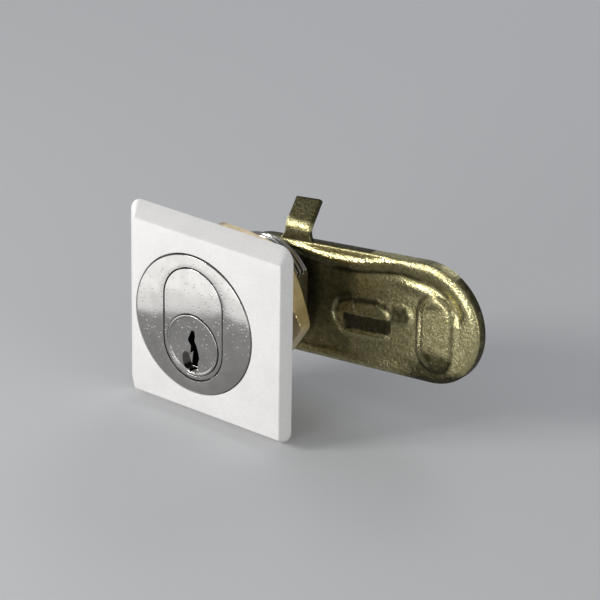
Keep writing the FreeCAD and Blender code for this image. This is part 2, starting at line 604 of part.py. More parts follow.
def make_cylinder_body():
    """The oval cylinder: head, stepped body, plug bore, pin chambers and anti-drill pin holes."""
    head = stadium("oval_head", "oval_width", "oval_height", DISC_FRONT, "oval_depth")
    body = stadium("oval_body", "oval_width - 2 * oval_step", "oval_height - 2 * oval_step", BODY_STEP,
                   f"{BODY_BACK} - {BODY_STEP}")
    tools = [
        cylinder("plug_bore", "plug_radius + plug_gap", f"{DISC_FRONT} - 1",
                 f"{BODY_BACK} - {DISC_FRONT} + 2", z=PLUG_AXIS),
        cylinder("plug_head_seat", "plug_head_radius + plug_gap", f"{DISC_FRONT} - 1",
                 "1 + plug_head_depth + plug_gap", z=PLUG_AXIS),
        block("cover_slot", "cover_width + 2 * pin_gap", COVER_LENGTH, "oval_height", "0", COVER_START,
              f"({COVER_FOOT} + oval_height / 2)"),
    ]
    for index in range(len(KEY_PIN_LENGTHS)):
        tools.append(upright(f"pin_chamber_{index + 1}", "pin_radius + pin_gap", PLUG_AXIS,
                             f"{COVER_FOOT} + cover_thickness / 2 - {PLUG_AXIS}", y=pin_place(index)))
    for side, sign in (("left", "-1"), ("right", "1")):
        tools.append(upright(f"drill_pin_hole_{side}", "drill_pin_radius", DRILL_FOOT, "oval_height",
                             f"{sign} * drill_pin_side", DRILL_PIN_PLACE))
        tools.append(cylinder(f"body_screw_thread_{side}", "body_screw_radius",
                              f"{BODY_BACK} - body_screw_grip", "body_screw_grip + 1",
                              f"{sign} * body_screw_side", SCREW_RISE))
    node(cut("cylinder_body_form", fuse("oval_blank", head, body), *tools), "cylinder_body")


def make_chamber_cover():
    """The brass strip that closes the pin chambers."""
    node(block("chamber_cover_form", "cover_width", f"{COVER_LENGTH} - 2 * pin_gap", "cover_thickness", "0",
               f"{COVER_START} + pin_gap", f"({COVER_FOOT} + cover_thickness / 2)"), "chamber_cover")


def make_pins():
    """Key pins in the plug and driver pins in the body, which meet at the shear line."""
    for index, (cut_name, _) in enumerate(KEY_PIN_LENGTHS):
        number = index + 1
        place = pin_place(index)
        foot = f"({KEY_PIN_TOP} - {cut_name})"
        shank = upright(f"key_pin_shank_{number}", "pin_radius", f"{foot} + pin_tip",
                        f"{cut_name} - pin_tip", y=place)
        point = DOC.addObject("Part::Cone", f"key_pin_tip_{number}")
        bind(point, Radius1="pin_point", Radius2="pin_radius", Height="pin_tip", y=place, z=foot)
        node(fuse(f"key_pin_form_{number}", shank, point), f"key_pin_{number}")
        node(upright(f"driver_pin_form_{number}", "pin_radius", DRIVER_FOOT, "driver_length", y=place),
             f"driver_pin_{number}")


def make_anti_drill_pins():
    """Two hard pins that stand beside the pin chambers, just behind the head."""
    bars = [upright(f"drill_pin_{side}", "drill_pin_radius", DRILL_FOOT, DRILL_LENGTH,
                    f"{sign} * drill_pin_side", DRILL_PIN_PLACE)
            for side, sign in (("left", "-1"), ("right", "1"))]
    node(group("anti_drill_pins_form", *bars), "anti_drill_pins")


def make_cylinder_screws():
    """Two screws from the housing's rear wall into the cylinder body."""
    screws = []
    for side, sign in (("left", "-1"), ("right", "1")):
        place = f"{sign} * body_screw_side"
        seat = "(barrel_length - body_screw_head_depth)"
        shank = cylinder(f"body_screw_shank_{side}", "body_screw_radius", f"{BODY_BACK} - body_screw_grip",
                         f"{seat} - {BODY_BACK} + body_screw_grip", place, SCREW_RISE)
        head = cylinder(f"body_screw_head_{side}", "body_screw_head", seat, "body_screw_head_depth", place,
                        SCREW_RISE)
        slot = block(f"body_screw_slot_{side}", "3 * body_screw_head", "body_screw_head_depth",
                     "body_screw_slot", place, f"{seat} + body_screw_head_depth / 2", SCREW_RISE)
        screws.append(cut(f"body_screw_{side}", fuse(f"body_screw_blank_{side}", shank, head), slot))
    node(group("cylinder_screws_form", *screws), "cylinder_screws")


def make_stop_pins():
    """Two pins in the rear wall that end the cam's turn."""
    length = "stop_pin_depth + stop_face_gap + lug_thickness + stop_pin_over"
    bars = [stop_pin_bar(f"stop_pin_{index}", angle, length) for index, angle in enumerate(STOP_ANGLES)]
    node(group("stop_pins_form", *bars), "stop_pins")


def keyway_outline():
    """The keyway's section as (x, z) points about the plug axis, front view, clockwise from the top.

    The upper part is a swaying slot; below the middle it widens to the left and runs down to the
    rim of the plug's head, which it leaves whole, and out of the barrel's underside.
    """
    half, sway, side = read("key_width") / 2, read("key_sway"), read("key_side_depth")
    top, foot = read("key_top"), -read("key_foot")
    right = [(0.35 * half - 0.1, top), (half - 0.4 * sway, 0.3 * top), (half + 0.2 * sway, 0.1 * top),
             (half + sway * 0.9, -0.65 * top), (half + sway * 0.55, -1.4 * top), (half, foot)]
    left = [(-half, foot), (-half - side, -1.85 * top), (-half - side, -0.65 * top),
            (-half + 0.3 * sway, -0.4 * top), (-half + 0.15 * sway, -0.1 * top),
            (-half - 0.8 * sway, 0.15 * top), (-half, top)]
    return right + left


def make_plug():
    """The plug: rimmed head, swaying keyway, pin holes, clip groove and the slot for the tongue."""
    axis = -(read("oval_height") - read("oval_width")) / 2
    front = -read("plate_depth") - read("disc_proud")
    points = [Vector(x, front - 1, axis + z) for x, z in keyway_outline()]
    wire = Part.makePolygon(points + points[:1])
    keyway = DOC.addObject("Part::Feature", "keyway_form")
    end = sum_of("barrel_length", "-rear_wall", "-spindle_gap", "-collar_thickness", "-plug_tail_gap",
                 "-tongue_length", "-tongue_end_gap", "-key_wall")
    keyway.Shape = Part.Face(wire).extrude(Vector(0, end - front + 1, 0))
    head = cylinder("plug_head", "plug_head_radius", PLUG_FRONT, "plug_head_depth", z=PLUG_AXIS)
    rim = cylinder("plug_rim", "plug_head_radius", f"{PLUG_FRONT} - plug_rim_height", "plug_rim_height",
                   z=PLUG_AXIS)
    inside = cylinder("plug_rim_inside", "plug_head_radius - plug_rim_width",
                      f"{PLUG_FRONT} - 2 * plug_rim_height", "2 * plug_rim_height", z=PLUG_AXIS)
    barrel = cylinder("plug_barrel", "plug_radius", PLUG_FRONT, f"{PLUG_BACK} - {PLUG_FRONT}", z=PLUG_AXIS)
    groove_outer = cylinder("clip_groove_outside", "plug_radius + 1", BODY_BACK,
                            "clip_thickness + 2 * clip_gap", z=PLUG_AXIS)
    groove_inner = cylinder("clip_groove_inside", "clip_inner", f"{BODY_BACK} - 1",
                            "clip_thickness + 2 * clip_gap + 2", z=PLUG_AXIS)
    tools = [
        keyway,
        cut("clip_groove", groove_outer, groove_inner),
        block("tongue_slot", "tongue_width + 2 * tongue_gap", "tongue_length + tongue_end_gap + 1",
              "4 * plug_radius", "0", f"{TONGUE_FRONT} - tongue_end_gap", PLUG_AXIS),
    ]
    for index in range(len(KEY_PIN_LENGTHS)):
        tools.append(upright(f"plug_pin_hole_{index + 1}", "pin_radius + pin_gap",
                             f"{PLUG_AXIS} + pin_floor - pin_gap", "plug_radius", y=pin_place(index)))
    blank = fuse("plug_blank", head, barrel, cut("plug_rim_ring", rim, inside))
    node(cut("plug_form", blank, *tools), "plug")


def make_plug_clip():
    """The open spring clip behind the cylinder body that keeps the plug in."""
    ring = cylinder("plug_clip_ring", "clip_radius", f"{BODY_BACK} + clip_gap", "clip_thickness",
                    z=PLUG_AXIS)
    bore = cylinder("plug_clip_bore", "clip_inner + clip_gap", f"{BODY_BACK} - 1", "clip_thickness + 3",
                    z=PLUG_AXIS)
    mouth = block("plug_clip_mouth", "clip_mouth", "clip_thickness + 3", "clip_radius + 1", "0",
                  f"{BODY_BACK} - 1", f"({PLUG_AXIS} - (clip_radius + 1) / 2)")
    node(cut("plug_clip_form", ring, bore, mouth), "plug_clip")


def make_spindle():
    """The spindle: driving tongue, collar, journal in the rear wall and square for the cam."""
    tongue = block("spindle_tongue", "tongue_width", f"{COLLAR_FRONT} + collar_thickness - {TONGUE_FRONT}",
                   "tongue_height", "0", TONGUE_FRONT, PLUG_AXIS)
    collar = cylinder("spindle_collar", "collar_radius", COLLAR_FRONT, "collar_thickness", z=PLUG_AXIS)
    journal = cylinder("spindle_journal", "spindle_radius", COLLAR_FRONT, f"{SHOULDER} - {COLLAR_FRONT}",
                       z=PLUG_AXIS)
    reach = f"{SQUARE_END} - {SHOULDER}"
    square = common("spindle_square",
                    block("spindle_square_block", "square_size", reach, "square_size", "0", SHOULDER,
                          PLUG_AXIS),
                    cylinder("spindle_square_round", "spindle_radius", SHOULDER, reach, z=PLUG_AXIS))
    thread = cylinder("spindle_thread", "screw_radius", SCREW_TIP, f"{HUB_BACK} - {SCREW_TIP} + 1",
                      z=PLUG_AXIS)
    node(cut("spindle_form", fuse("spindle_blank", tongue, collar, journal, square), thread), "spindle")


def square_hole(name, start, length):
    """The clearance hole for the spindle's square."""
    across = "square_size + 2 * square_gap"
    return common(name, block(name + "_block", across, length, across, "0", start, PLUG_AXIS),
                  cylinder(name + "_round", "spindle_radius + square_gap", start, length, z=PLUG_AXIS))


def make_stop_disc():
    """The stop disc on the square: a round boss, and a lug that runs between the stop pins."""
    boss = cylinder("stop_boss", "stop_radius", SHOULDER, "stop_height", z=PLUG_AXIS)
    lug = DOC.addObject("Part::Cylinder", "stop_lug")
    lug.Placement = FreeCAD.Placement(Vector(), ALONG_Y)
    bind(lug, Radius="lug_reach", Height="lug_thickness", Angle="lug_angle", y=SHOULDER, z=PLUG_AXIS)
    lug.Placement = FreeCAD.Placement(lug.Placement.Base,
                                      ALONG_Y * FreeCAD.Rotation(Vector(0, 0, 1), -read("lug_angle") / 2))
    hole = square_hole("stop_square", f"{SHOULDER} - 1", "stop_height + 2")
    node(cut("stop_disc_form", fuse("stop_blank", boss, lug), hole), "stop_disc")


def on_plane(x, z):
    """A point of the cam's outline."""
    return Vector(x, 0, z)


def polar(angle, radius=1.0):
    """A point at an angle from +X towards +Z."""
    return Vector(radius * math.cos(angle), 0, radius * math.sin(angle))


def round_arc(centre, start, end):
    """The clockwise arc about centre from start to end."""
    first = math.atan2(start.z - centre.z, start.x - centre.x)
    last = math.atan2(end.z - centre.z, end.x - centre.x)
    middle = first - (first - last) % (2 * math.pi) / 2
    return Part.Arc(start, centre + polar(middle, (start - centre).Length), end).toShape()


def cam_outline(inset):
    """The cam's outline, drawn in by inset: two round ends joined by their common tangents."""
    hub, head = read("hub_radius"), read("head_radius")
    hub_centre = Vector(0, 0, read("hub_rise"))
    head_centre = Vector(read("cam_reach") - head, 0, read("head_rise"))
    span = head_centre - hub_centre
    slope = math.atan2(span.z, span.x)
    opening = math.acos((hub - head) / span.Length)
    upper, lower = polar(slope + opening), polar(slope - opening)
    corners = [
        hub_centre + upper * (hub - inset),
        head_centre + upper * (head - inset),
        head_centre + lower * (head - inset),
        hub_centre + lower * (hub - inset),
    ]
    edges = [
        Part.LineSegment(corners[0], corners[1]).toShape(),
        round_arc(head_centre, corners[1], corners[2]),
        Part.LineSegment(corners[2], corners[3]).toShape(),
        round_arc(hub_centre, corners[3], corners[0]),
    ]
    return Part.Wire(edges)


def slab(wire, start, end):
    """The solid between y = start and y = end over a closed outline."""
    face = Part.Face(wire)
    face.translate(Vector(0, start, 0))
    return face.extrude(Vector(0, end - start, 0))


def oval_outline(x, z, width, height):
    """A closed outline with round ends, upright or lying as its longer side asks."""
    radius = min(width, height) / 2
    dx, dz = max(0.0, (width - height) / 2), max(0.0, (height - width) / 2)
    if dx > 0:
        points = [(x - dx, z + radius), (x + dx, z + radius), (x + dx, z - radius), (x - dx, z - radius)]
        ends = [(x + dx + radius, z), (x - dx - radius, z)]
        arcs_first = False
    else:
        points = [(x - radius, z + dz), (x + radius, z + dz), (x + radius, z - dz), (x - radius, z - dz)]
        ends = [(x, z + dz + radius), (x, z - dz - radius)]
        arcs_first = True
    p = [on_plane(*point) for point in points]
    e = [on_plane(*point) for point in ends]
    if arcs_first:
        edges = [Part.Arc(p[0], e[0], p[1]), Part.LineSegment(p[1], p[2]),
                 Part.Arc(p[2], e[1], p[3]), Part.LineSegment(p[3], p[0])]
    else:
        edges = [Part.LineSegment(p[0], p[1]), Part.Arc(p[1], e[0], p[2]),
                 Part.LineSegment(p[2], p[3]), Part.Arc(p[3], e[1], p[0])]
    return Part.Wire([edge.toShape() for edge in edges])


def front_edges(shape, y):
    """The edges of a solid that lie in the plane at y."""
    return [edge for edge in shape.Edges
            if abs(edge.BoundBox.YMin - y) < 1e-6 and abs(edge.BoundBox.YMax - y) < 1e-6]


def bent_tab(middle):
    """The tab: a strip that rises in the plane y = middle, bends back and runs on straight."""
    half, bend, lean = read("sheet_thickness") / 2, read("tab_bend"), math.radians(read("tab_lean_angle"))
    left, foot, base = read("tab_place") - read("tab_width") / 2, read("tab_foot"), read("tab_bend_start")
    straight = (read("tab_rise") - base - bend * math.sin(lean)) / math.cos(lean)
    sides = []
    for radius in (bend + half, bend - half):
        def spot(angle, beyond=0.0, radius=radius):
            return Vector(left, middle + bend - radius * math.cos(angle) + beyond * math.sin(lean),
                          base + radius * math.sin(angle) + beyond * math.cos(lean))
        sides.append((Vector(left, middle + bend - radius, foot), spot(0), spot(lean / 2), spot(lean),
                      spot(lean, straight)))
    edges = []
    for bottom, first, halfway, last, tip in sides:
        edges += [Part.LineSegment(bottom, first), Part.Arc(first, halfway, last),
                  Part.LineSegment(last, tip)]
    edges += [Part.LineSegment(sides[0][4], sides[1][4]), Part.LineSegment(sides[0][0], sides[1][0])]
    outline = Part.Wire(Part.__sortEdges__([edge.toShape() for edge in edges]))
    return Part.Face(outline).extrude(Vector(read("tab_width"), 0, 0))


def make_cam():
    """The pressed cam: pan with a raised rim, turned edge, three pressed forms and a bent tab."""
    sheet = read("sheet_thickness")
    pan = read("barrel_length") + read("stop_face_gap") + read("stop_height")
    front = pan - read("bead_height")
    rear = front + read("skirt_depth")
    blank = slab(cam_outline(0), front, rear)
    blank = blank.makeFillet(read("bead_round"), front_edges(blank, front))
    blank = blank.cut(slab(cam_outline(read("bead_width")), front - 1, pan))
    blank = blank.cut(slab(cam_outline(sheet), pan + sheet, rear + 1))
    forms = [
        ("boss_place", "boss_rise", "boss_width", "boss_height", "boss_depth"),
        ("rib_place", "rib_rise", "rib_length", "rib_height", "rib_depth"),
        ("nib_place", "nib_rise", "nib_length", "nib_height", "rib_depth"),
    ]
    for sizes in forms:
        x, z, width, height, depth = (read(name) for name in sizes)
        form = slab(oval_outline(x, z, width, height), pan - depth, pan + sheet / 2)
        form = form.makeFillet(read("form_round"), front_edges(form, pan - depth))
        inside = 2 * read("form_wall")
        hollow = slab(oval_outline(x, z, width - inside, height - inside), pan + sheet - depth, rear)
        blank = blank.fuse(form).cut(hollow)
    tab = bent_tab(pan + sheet / 2)
    across = read("square_size") + 2 * read("square_gap")
    axis = -(read("oval_height") - read("oval_width")) / 2
    hole = Part.makeBox(across, 3 * sheet, across, Vector(-across / 2, pan - sheet, axis - across / 2))
    hole = hole.common(Part.makeCylinder(read("spindle_radius") + read("square_gap"), 3 * sheet,
                                         Vector(0, pan - sheet, axis), Vector(0, 1, 0)))
    shaped("cam", blank.fuse(tab).cut(hole).removeSplitter())


def make_cam_fixings():
    """Washer, spring washer and hexagon screw that hold the cam on the spindle."""
    bore = "screw_radius + screw_gap"
    washer = cylinder("cam_washer_ring", "cam_washer_radius", HUB_BACK, "cam_washer_thickness", z=PLUG_AXIS)
    washer_bore = cylinder("cam_washer_bore", bore, f"{HUB_BACK} - 1", "cam_washer_thickness + 2",
                           z=PLUG_AXIS)
    node(cut("cam_washer_form", washer, washer_bore), "cam_washer")
    place = f"({HUB_BACK} + cam_washer_thickness)"
    ring = cylinder("spring_washer_ring", "spring_washer_radius", place, "spring_washer_thickness",
                    z=PLUG_AXIS)
    ring_bore = cylinder("spring_washer_bore", bore, f"{place} - 1", "spring_washer_thickness + 2",
                         z=PLUG_AXIS)
    slit = block("spring_washer_slit_block", "spring_washer_slit", "spring_washer_thickness + 2",
                 "spring_washer_radius + 1", "0", f"{place} - 1",
                 f"({PLUG_AXIS} + (spring_washer_radius + 1) / 2)")
    node(cut("spring_washer_form", ring, ring_bore, slit), "spring_washer")
    seat = f"({place} + spring_washer_thickness)"
    head = hexagon("screw_head", "screw_head_size", seat, "screw_head_height", 0, PLUG_AXIS)
    crown = cone("screw_crown", "screw_head_size", "screw_head_size * 0.46", seat, "screw_head_height",
                 z=PLUG_AXIS)
    shank = cylinder("screw_shank", "screw_radius", SCREW_TIP, f"{seat} - {SCREW_TIP}", z=PLUG_AXIS)
    node(fuse("cam_screw_form", common("screw_head_form", head, crown), shank), "cam_screw")


def hexagon(name, across, start, length, turn, z="0"):
    """A hexagon bar along +Y with one corner turned down from the right-hand side."""
    item = DOC.addObject("Part::Prism", name)
    item.Polygon = 6
    item.Placement = FreeCAD.Placement(Vector(), ALONG_Y * FreeCAD.Rotation(Vector(0, 0, 1), turn))
    return bind(item, Circumradius=f"{across} / sqrt(3)", Height=length, y=start, z=z)


def make_hex_nut():
    """The brass hexagon nut on the barrel, chamfered at both faces."""
    front = "(nut_rear - nut_thickness)"
    bar = hexagon("nut_bar", NUT_SIZE, front, "nut_thickness", read("nut_turn"))
    small = f"{NUT_SIZE} / 2 - nut_chamfer"
    large = f"{small} + nut_thickness * nut_chamfer_slope"
    form = common("nut_blank", bar, cone("nut_front_cone", small, large, front, "nut_thickness"),
                  cone("nut_rear_cone", large, small, front, "nut_thickness"))
    bore = cylinder("nut_bore", f"{BARREL_RADIUS} + nut_gap", f"{front} - 1", "nut_thickness + 2")
    node(cut("hex_nut_form", form, bore), "hex_nut")


def make_lock_washer():
    """The toothed washer in front of the nut: a ring with notches round its edge."""
    body = body_named("lock_washer")
    place = "nut_rear - nut_thickness - lock_washer_thickness"
    outline = round_sketch(body, "washer_outline", place, WASHER_RADIUS)
    inner = barrel_radius() + read("nut_gap")
    outline.addGeometry(Part.Circle(Vector(0, 0, 0), Vector(0, 0, 1), inner), False)
    outline.addConstraint(Sketcher.Constraint("Coincident", 1, 3, -1, 1))
    constrain(outline, "inner", f"{BARREL_RADIUS} + nut_gap", "Radius", 1, inner)
    pad(body, "washer_ring", outline, "lock_washer_thickness")
    notch = sketch_at(body, "notch_outline", place)
    reach, half = barrel_radius() + read("lock_washer_rim"), read("notch_size") / 2
    notch.addGeometry(Part.Circle(Vector(reach, 0, 0), Vector(0, 0, 1), half), False)
    notch.addConstraint(Sketcher.Constraint("PointOnObject", 0, 3, -1))
    constrain(notch, "place", WASHER_RADIUS, "DistanceX", -1, 1, 0, 3, reach)
    constrain(notch, "radius", "notch_size / 2", "Radius", 0, half)
    DOC.recompute()
    first = pocket(body, "notch", notch, "lock_washer_thickness")
    DOC.recompute()
    teeth = body.newObject("PartDesign::PolarPattern", "notches")
    teeth.Originals = [first]
    teeth.Axis = (origin_plane(body, "Y_Axis"), [""])
    teeth.Angle = 360.0
    bind(teeth, Occurrences="lock_washer_teeth")
    body.Tip = teeth
    node(body, "lock_washer")


def arc_edge(start, way, end):
    """The circular edge that leaves start along the unit vector way and ends at end."""
    chord = end - start
    straight = chord * (1 / chord.Length)
    aside = way - straight * way.dot(straight)
    lean = math.atan2(aside.Length, way.dot(straight))
    middle = start + chord * 0.5 + aside * (chord.Length / 2 * math.tan(lean / 2) / aside.Length)
    return Part.Arc(start, middle, end).toShape()


def biarc(start, start_way, end, end_way):
    """Two tangent circular edges from start to end with the given unit directions."""
    span = end - start
    both = span.dot(start_way + end_way)
    spread = 2 * (1 - start_way.dot(end_way))
    reach = (-both + math.sqrt(both ** 2 + spread * span.dot(span))) / spread
    joint = (start + end + (start_way - end_way) * reach) * 0.5
    back = arc_edge(end, end_way * -1, joint)
    middle = back.valueAt((back.FirstParameter + back.LastParameter) / 2)
    return [arc_edge(start, start_way, joint), Part.Arc(joint, middle, end).toShape()]


def coil(centre, radius, wire, foot, top, turns):
    """An unbroken round wire wound upwards about a vertical axis through centre (x, y)."""
    steps = 4 * turns
    climb = (top - foot) / steps
    rise = climb / (math.pi / 2)

    def spot(step):
        angle = step * math.pi / 2
        place = Vector(centre[0] + radius * math.cos(angle), centre[1] + radius * math.sin(angle),
                       foot + climb * step)
        way = Vector(-radius * math.sin(angle), radius * math.cos(angle), rise)
        return place, way * (1 / way.Length)

    edges = []
    for step in range(steps):
        edges += biarc(*spot(step), *spot(step + 1))
    start, way = spot(0)
    section = Part.Wire([Part.Circle(start, way, wire / 2).toShape()])
    return Part.Wire(edges).makePipeShell([section], True, False)


def make_pin_springs():
    """The coil springs between the driver pins and the chamber cover."""
    wire, turns = read("spring_wire"), int(read("spring_turns"))
    shear = read("plug_radius") - (read("oval_height") - read("oval_width")) / 2
    seat = shear + read("plug_gap") + read("pin_shear_gap") / 2 + read("driver_length")
    foot = seat + read("spring_gap") + wire / 2
    cover = read("oval_height") / 2 - read("oval_step") - read("cover_depth")
    top = cover - read("spring_gap") - wire / 2
    first = read("pin_first")
    last = sum_of("barrel_length", "-rear_wall", "-tail_room", "-pin_tail")
    spacing = (last - first) / (len(KEY_PIN_LENGTHS) - 1)
    for index in range(len(KEY_PIN_LENGTHS)):
        place = (0.0, first + index * spacing)
        shaped(f"pin_spring_{index + 1}", coil(place, read("spring_radius"), wire, foot, top, turns))
    print(f"pin springs: least gap between turns {(top - foot) / turns - wire:.2f} mm")


def write_nodes():
    """Check every object, then write each sub-part to its own file."""
    DOC.recompute()
    for item in DOC.Objects:
        if "Invalid" in item.State or "Error" in item.State:
            raise RuntimeError(f"{item.Name} ({item.Label}) failed: {item.State}")
    for name, item in NODES:
        if item.Shape.isNull() or not item.Shape.isValid():
            raise RuntimeError(f"{name} has no valid shape")
    os.makedirs("parts", exist_ok=True)
    for name, item in NODES:
        item.Shape.exportStep(os.path.join("parts", name + ".step"))
        print(f"{name}: {len(item.Shape.Solids)} solid(s), {item.Shape.Volume:.2f} mm3")


make_face_plate()
make_panel_gasket()
make_lock_housing()
make_flange_seal()
make_lock_washer()
make_hex_nut()
make_cylinder_body()
make_chamber_cover()
make_anti_drill_pins()
make_cylinder_screws()
make_stop_pins()
make_plug()
make_plug_clip()
make_pins()
make_pin_springs()
make_spindle()
make_stop_disc()
make_cam()
make_cam_fixings()
write_nodes()
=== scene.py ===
"""Looks of the enclosure lock insert, built round its packed construction.

Lengths in this file are millimetres; meshes are scaled to metres as they are made.  +X is right and +Z up
seen from the front, and +Y runs into the enclosure.  The origin is on the barrel axis at the plate's back.
"""

import json
import logging
import math
from dataclasses import dataclass
from enum import Enum

import bmesh
import bpy
import numpy as np
from mathutils import Matrix, Vector
from mathutils.geometry import tessellate_polygon

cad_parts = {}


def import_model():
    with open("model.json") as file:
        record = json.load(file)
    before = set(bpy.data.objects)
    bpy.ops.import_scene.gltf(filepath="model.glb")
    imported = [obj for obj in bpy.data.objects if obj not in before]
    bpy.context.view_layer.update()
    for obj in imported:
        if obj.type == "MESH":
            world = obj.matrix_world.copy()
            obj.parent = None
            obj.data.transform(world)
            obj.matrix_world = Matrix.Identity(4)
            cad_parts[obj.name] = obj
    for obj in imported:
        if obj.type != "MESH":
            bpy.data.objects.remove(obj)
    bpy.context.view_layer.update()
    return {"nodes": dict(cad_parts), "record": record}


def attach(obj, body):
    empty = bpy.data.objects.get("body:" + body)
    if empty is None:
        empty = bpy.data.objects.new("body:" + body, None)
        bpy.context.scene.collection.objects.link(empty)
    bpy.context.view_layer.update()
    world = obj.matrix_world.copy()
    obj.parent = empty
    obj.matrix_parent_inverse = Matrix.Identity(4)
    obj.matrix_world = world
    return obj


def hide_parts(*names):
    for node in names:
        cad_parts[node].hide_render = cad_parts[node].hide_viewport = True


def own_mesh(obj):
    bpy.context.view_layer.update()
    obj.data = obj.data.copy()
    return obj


Colour = tuple[float, float, float]
Point = tuple[float, float, float]
Pair = tuple[float, float]
Piece = bpy.types.Object
Socket = bpy.types.NodeSocket
Material = bpy.types.Material

LOG = logging.getLogger("lock_insert")
MM = 0.001
# Points closer than this, in metres, become one where a shell's seams meet.
MERGE = 2e-6
# Keeps a division away from nought.
TINY = 1e-9
# Angle in degrees past which an edge stays sharp, unless a piece asks for another.
CREASE = 35.0
# The range in which nearly all values of a noise lie.
CLOUDS = (0.3, 0.7)
# Attributes that the geometry writes and the finishes read.
# Painted highlight and painted shade for the cam's colour, which also set its gloss.
WEAR_AND_LIGHT = "wear_and_painted_light"
# Painted shade in the nickel's recesses.
RECESS_SHADE = "recess_shade"
WHITE: Colour = (1.0, 1.0, 1.0)
# Sizes that several pieces share: the disc's and the cylinder's front, the plug's axis under the barrel's,
# the cylinder screws, and the places of the pins behind the panel plane with each driver pin's lift.
FRONT = -5.4
PLUG_AXIS = -6.0
SCREW_SIDE = 5.6
SCREW_RISE = 8.0
PIN_HOLE = 1.25
PIN_LIFTS = (0.675, 1.475, 0.275, 1.075, 0.775)
PIN_PLACES = 0.6 + 3.9 * np.arange(len(PIN_LIFTS))


class Body(Enum):
    """The moving bodies of the lock."""

    HOUSING = "housing"
    PLUG = "plug_body"
    CAM = "cam_drive"


class Slot(Enum):
    """The material slots of the record."""

    PAINT = "plate_paint"
    RUBBER = "rubber"
    HOUSING = "housing_nickel"
    CYLINDER = "cylinder_nickel"
    ZINC = "zinc_steel"
    NUT = "nut_brass"
    PIN = "pin_brass"
    HARD = "hard_steel"
    SPRING = "spring_steel"
    CAM = "cam_zinc"


class Shell:
    """Collects the grids and flat faces of one closed surface."""

    def __init__(self) -> None:
        """Start empty."""
        self.points: list[np.ndarray] = []
        self.faces: list[list[int]] = []
        self.count = 0

    def grid(self, rows: np.ndarray, around: bool = True) -> "Shell":
        """Join successive rows of points by four-sided faces.

        Args:
            rows: points as (rows, columns, 3).
            around: whether the last column joins the first.

        Returns:
            This shell.
        """
        high, wide = rows.shape[:2]
        index = np.arange(high * wide).reshape(high, wide) + self.count
        if around:
            index = np.concatenate([index, index[:, :1]], axis=1)
        quads = np.stack([index[:-1, :-1], index[:-1, 1:], index[1:, 1:], index[1:, :-1]], axis=-1)
        self.faces += quads.reshape(-1, 4).tolist()
        self.points.append(rows.reshape(-1, 3))
        self.count += high * wide
        return self

    def flat(self, *loops: np.ndarray) -> "Shell":
        """Fill a flat region between an outer loop and any holes.

        Args:
            loops: the outer loop and then each hole, as (points, 3).

        Returns:
            This shell.
        """
        outlines = [[Vector(point) for point in loop] for loop in loops]
        self.faces += [[self.count + corner for corner in face] for face in tessellate_polygon(outlines)]
        self.points.append(np.concatenate(loops))
        self.count += len(self.points[-1])
        return self

    def build(self, name: str, crease: float = CREASE) -> Piece:
        """Make the object: merge the seams, point the faces outwards and shade it.

        Args:
            name: the piece's name.
            crease: angle in degrees past which an edge stays sharp.

        Returns:
            The new object, linked to the scene.
        """
        mesh = bpy.data.meshes.new(name)
        mesh.from_pydata(np.concatenate(self.points) * MM, [], self.faces)
        work = bmesh.new()
        work.from_mesh(mesh)
        bmesh.ops.remove_doubles(work, verts=work.verts, dist=MERGE)
        bmesh.ops.dissolve_degenerate(work, edges=work.edges, dist=MERGE)
        bmesh.ops.recalc_face_normals(work, faces=work.faces)
        open_edges = sum(1 for edge in work.edges if not edge.is_manifold)
        work.to_mesh(mesh)
        work.free()
        if open_edges:
            LOG.warning("%s has %d open edges", name, open_edges)
        piece = bpy.data.objects.new(name, mesh)
        bpy.context.scene.collection.objects.link(piece)
        shade(piece, crease)
        return piece


def shade(piece: Piece, crease: float) -> None:
    """Shade a piece smooth with sharp edges past the crease angle in degrees."""
    piece.data.shade_smooth()
    piece.data.set_sharp_from_angle(angle=math.radians(crease))


def combine(piece: Piece, others: list[Piece], operation: str, crease: float) -> Piece:
    """Apply one boolean after another and remove the second objects.

    Args:
        piece: the object that is changed.
        others: closed shells.
        operation: DIFFERENCE or UNION.
        crease: angle in degrees past which an edge stays sharp.

    Returns:
        The piece with its new mesh.
    """
    for other in others:
        step = piece.modifiers.new(operation.lower(), "BOOLEAN")
        step.operation = operation
        step.solver = "EXACT"
        step.object = other
    bpy.context.view_layer.update()
    shape = bpy.data.meshes.new_from_object(piece.evaluated_get(bpy.context.evaluated_depsgraph_get()))
    piece.modifiers.clear()
    old = piece.data
    piece.data = shape
    shape.name = old.name
    bpy.data.meshes.remove(old)
    for other in others:
        bpy.data.objects.remove(other)
    shade(piece, crease)
    return piece


def carve(piece: Piece, *cutters: Piece, crease: float = CREASE) -> Piece:
    """Cut other closed shells, which are then removed, out of a piece."""
    return combine(piece, list(cutters), "DIFFERENCE", crease)


def join(piece: Piece, other: Piece, crease: float = CREASE) -> Piece:
    """Unite a piece with another closed shell, which is then removed."""
    return combine(piece, [other], "UNION", crease)


def loop_at(x: np.ndarray, z: np.ndarray, y: float) -> np.ndarray:
    """Points (x, y, z) of a loop in the upright plane at y."""
    return np.stack([x, np.full_like(x, y), z], axis=-1)


def full_turn(count: int) -> np.ndarray:
    """Evenly spaced angles of one turn."""
    return np.arange(count) * (2 * np.pi / count)


def polar(angle: np.ndarray, radius: np.ndarray | float, y: float, x: float = 0.0,
          z: float = 0.0) -> np.ndarray:
    """A loop at y whose points lie at the given directions and distances from (x, z)."""
    return loop_at(x + radius * np.cos(angle), z + radius * np.sin(angle), y)


def circle(radius: float, y: float, x: float = 0.0, z: float = 0.0, count: int = 64) -> np.ndarray:
    """A circle in the upright plane at y about (x, z)."""
    return polar(full_turn(count), radius, y, x, z)


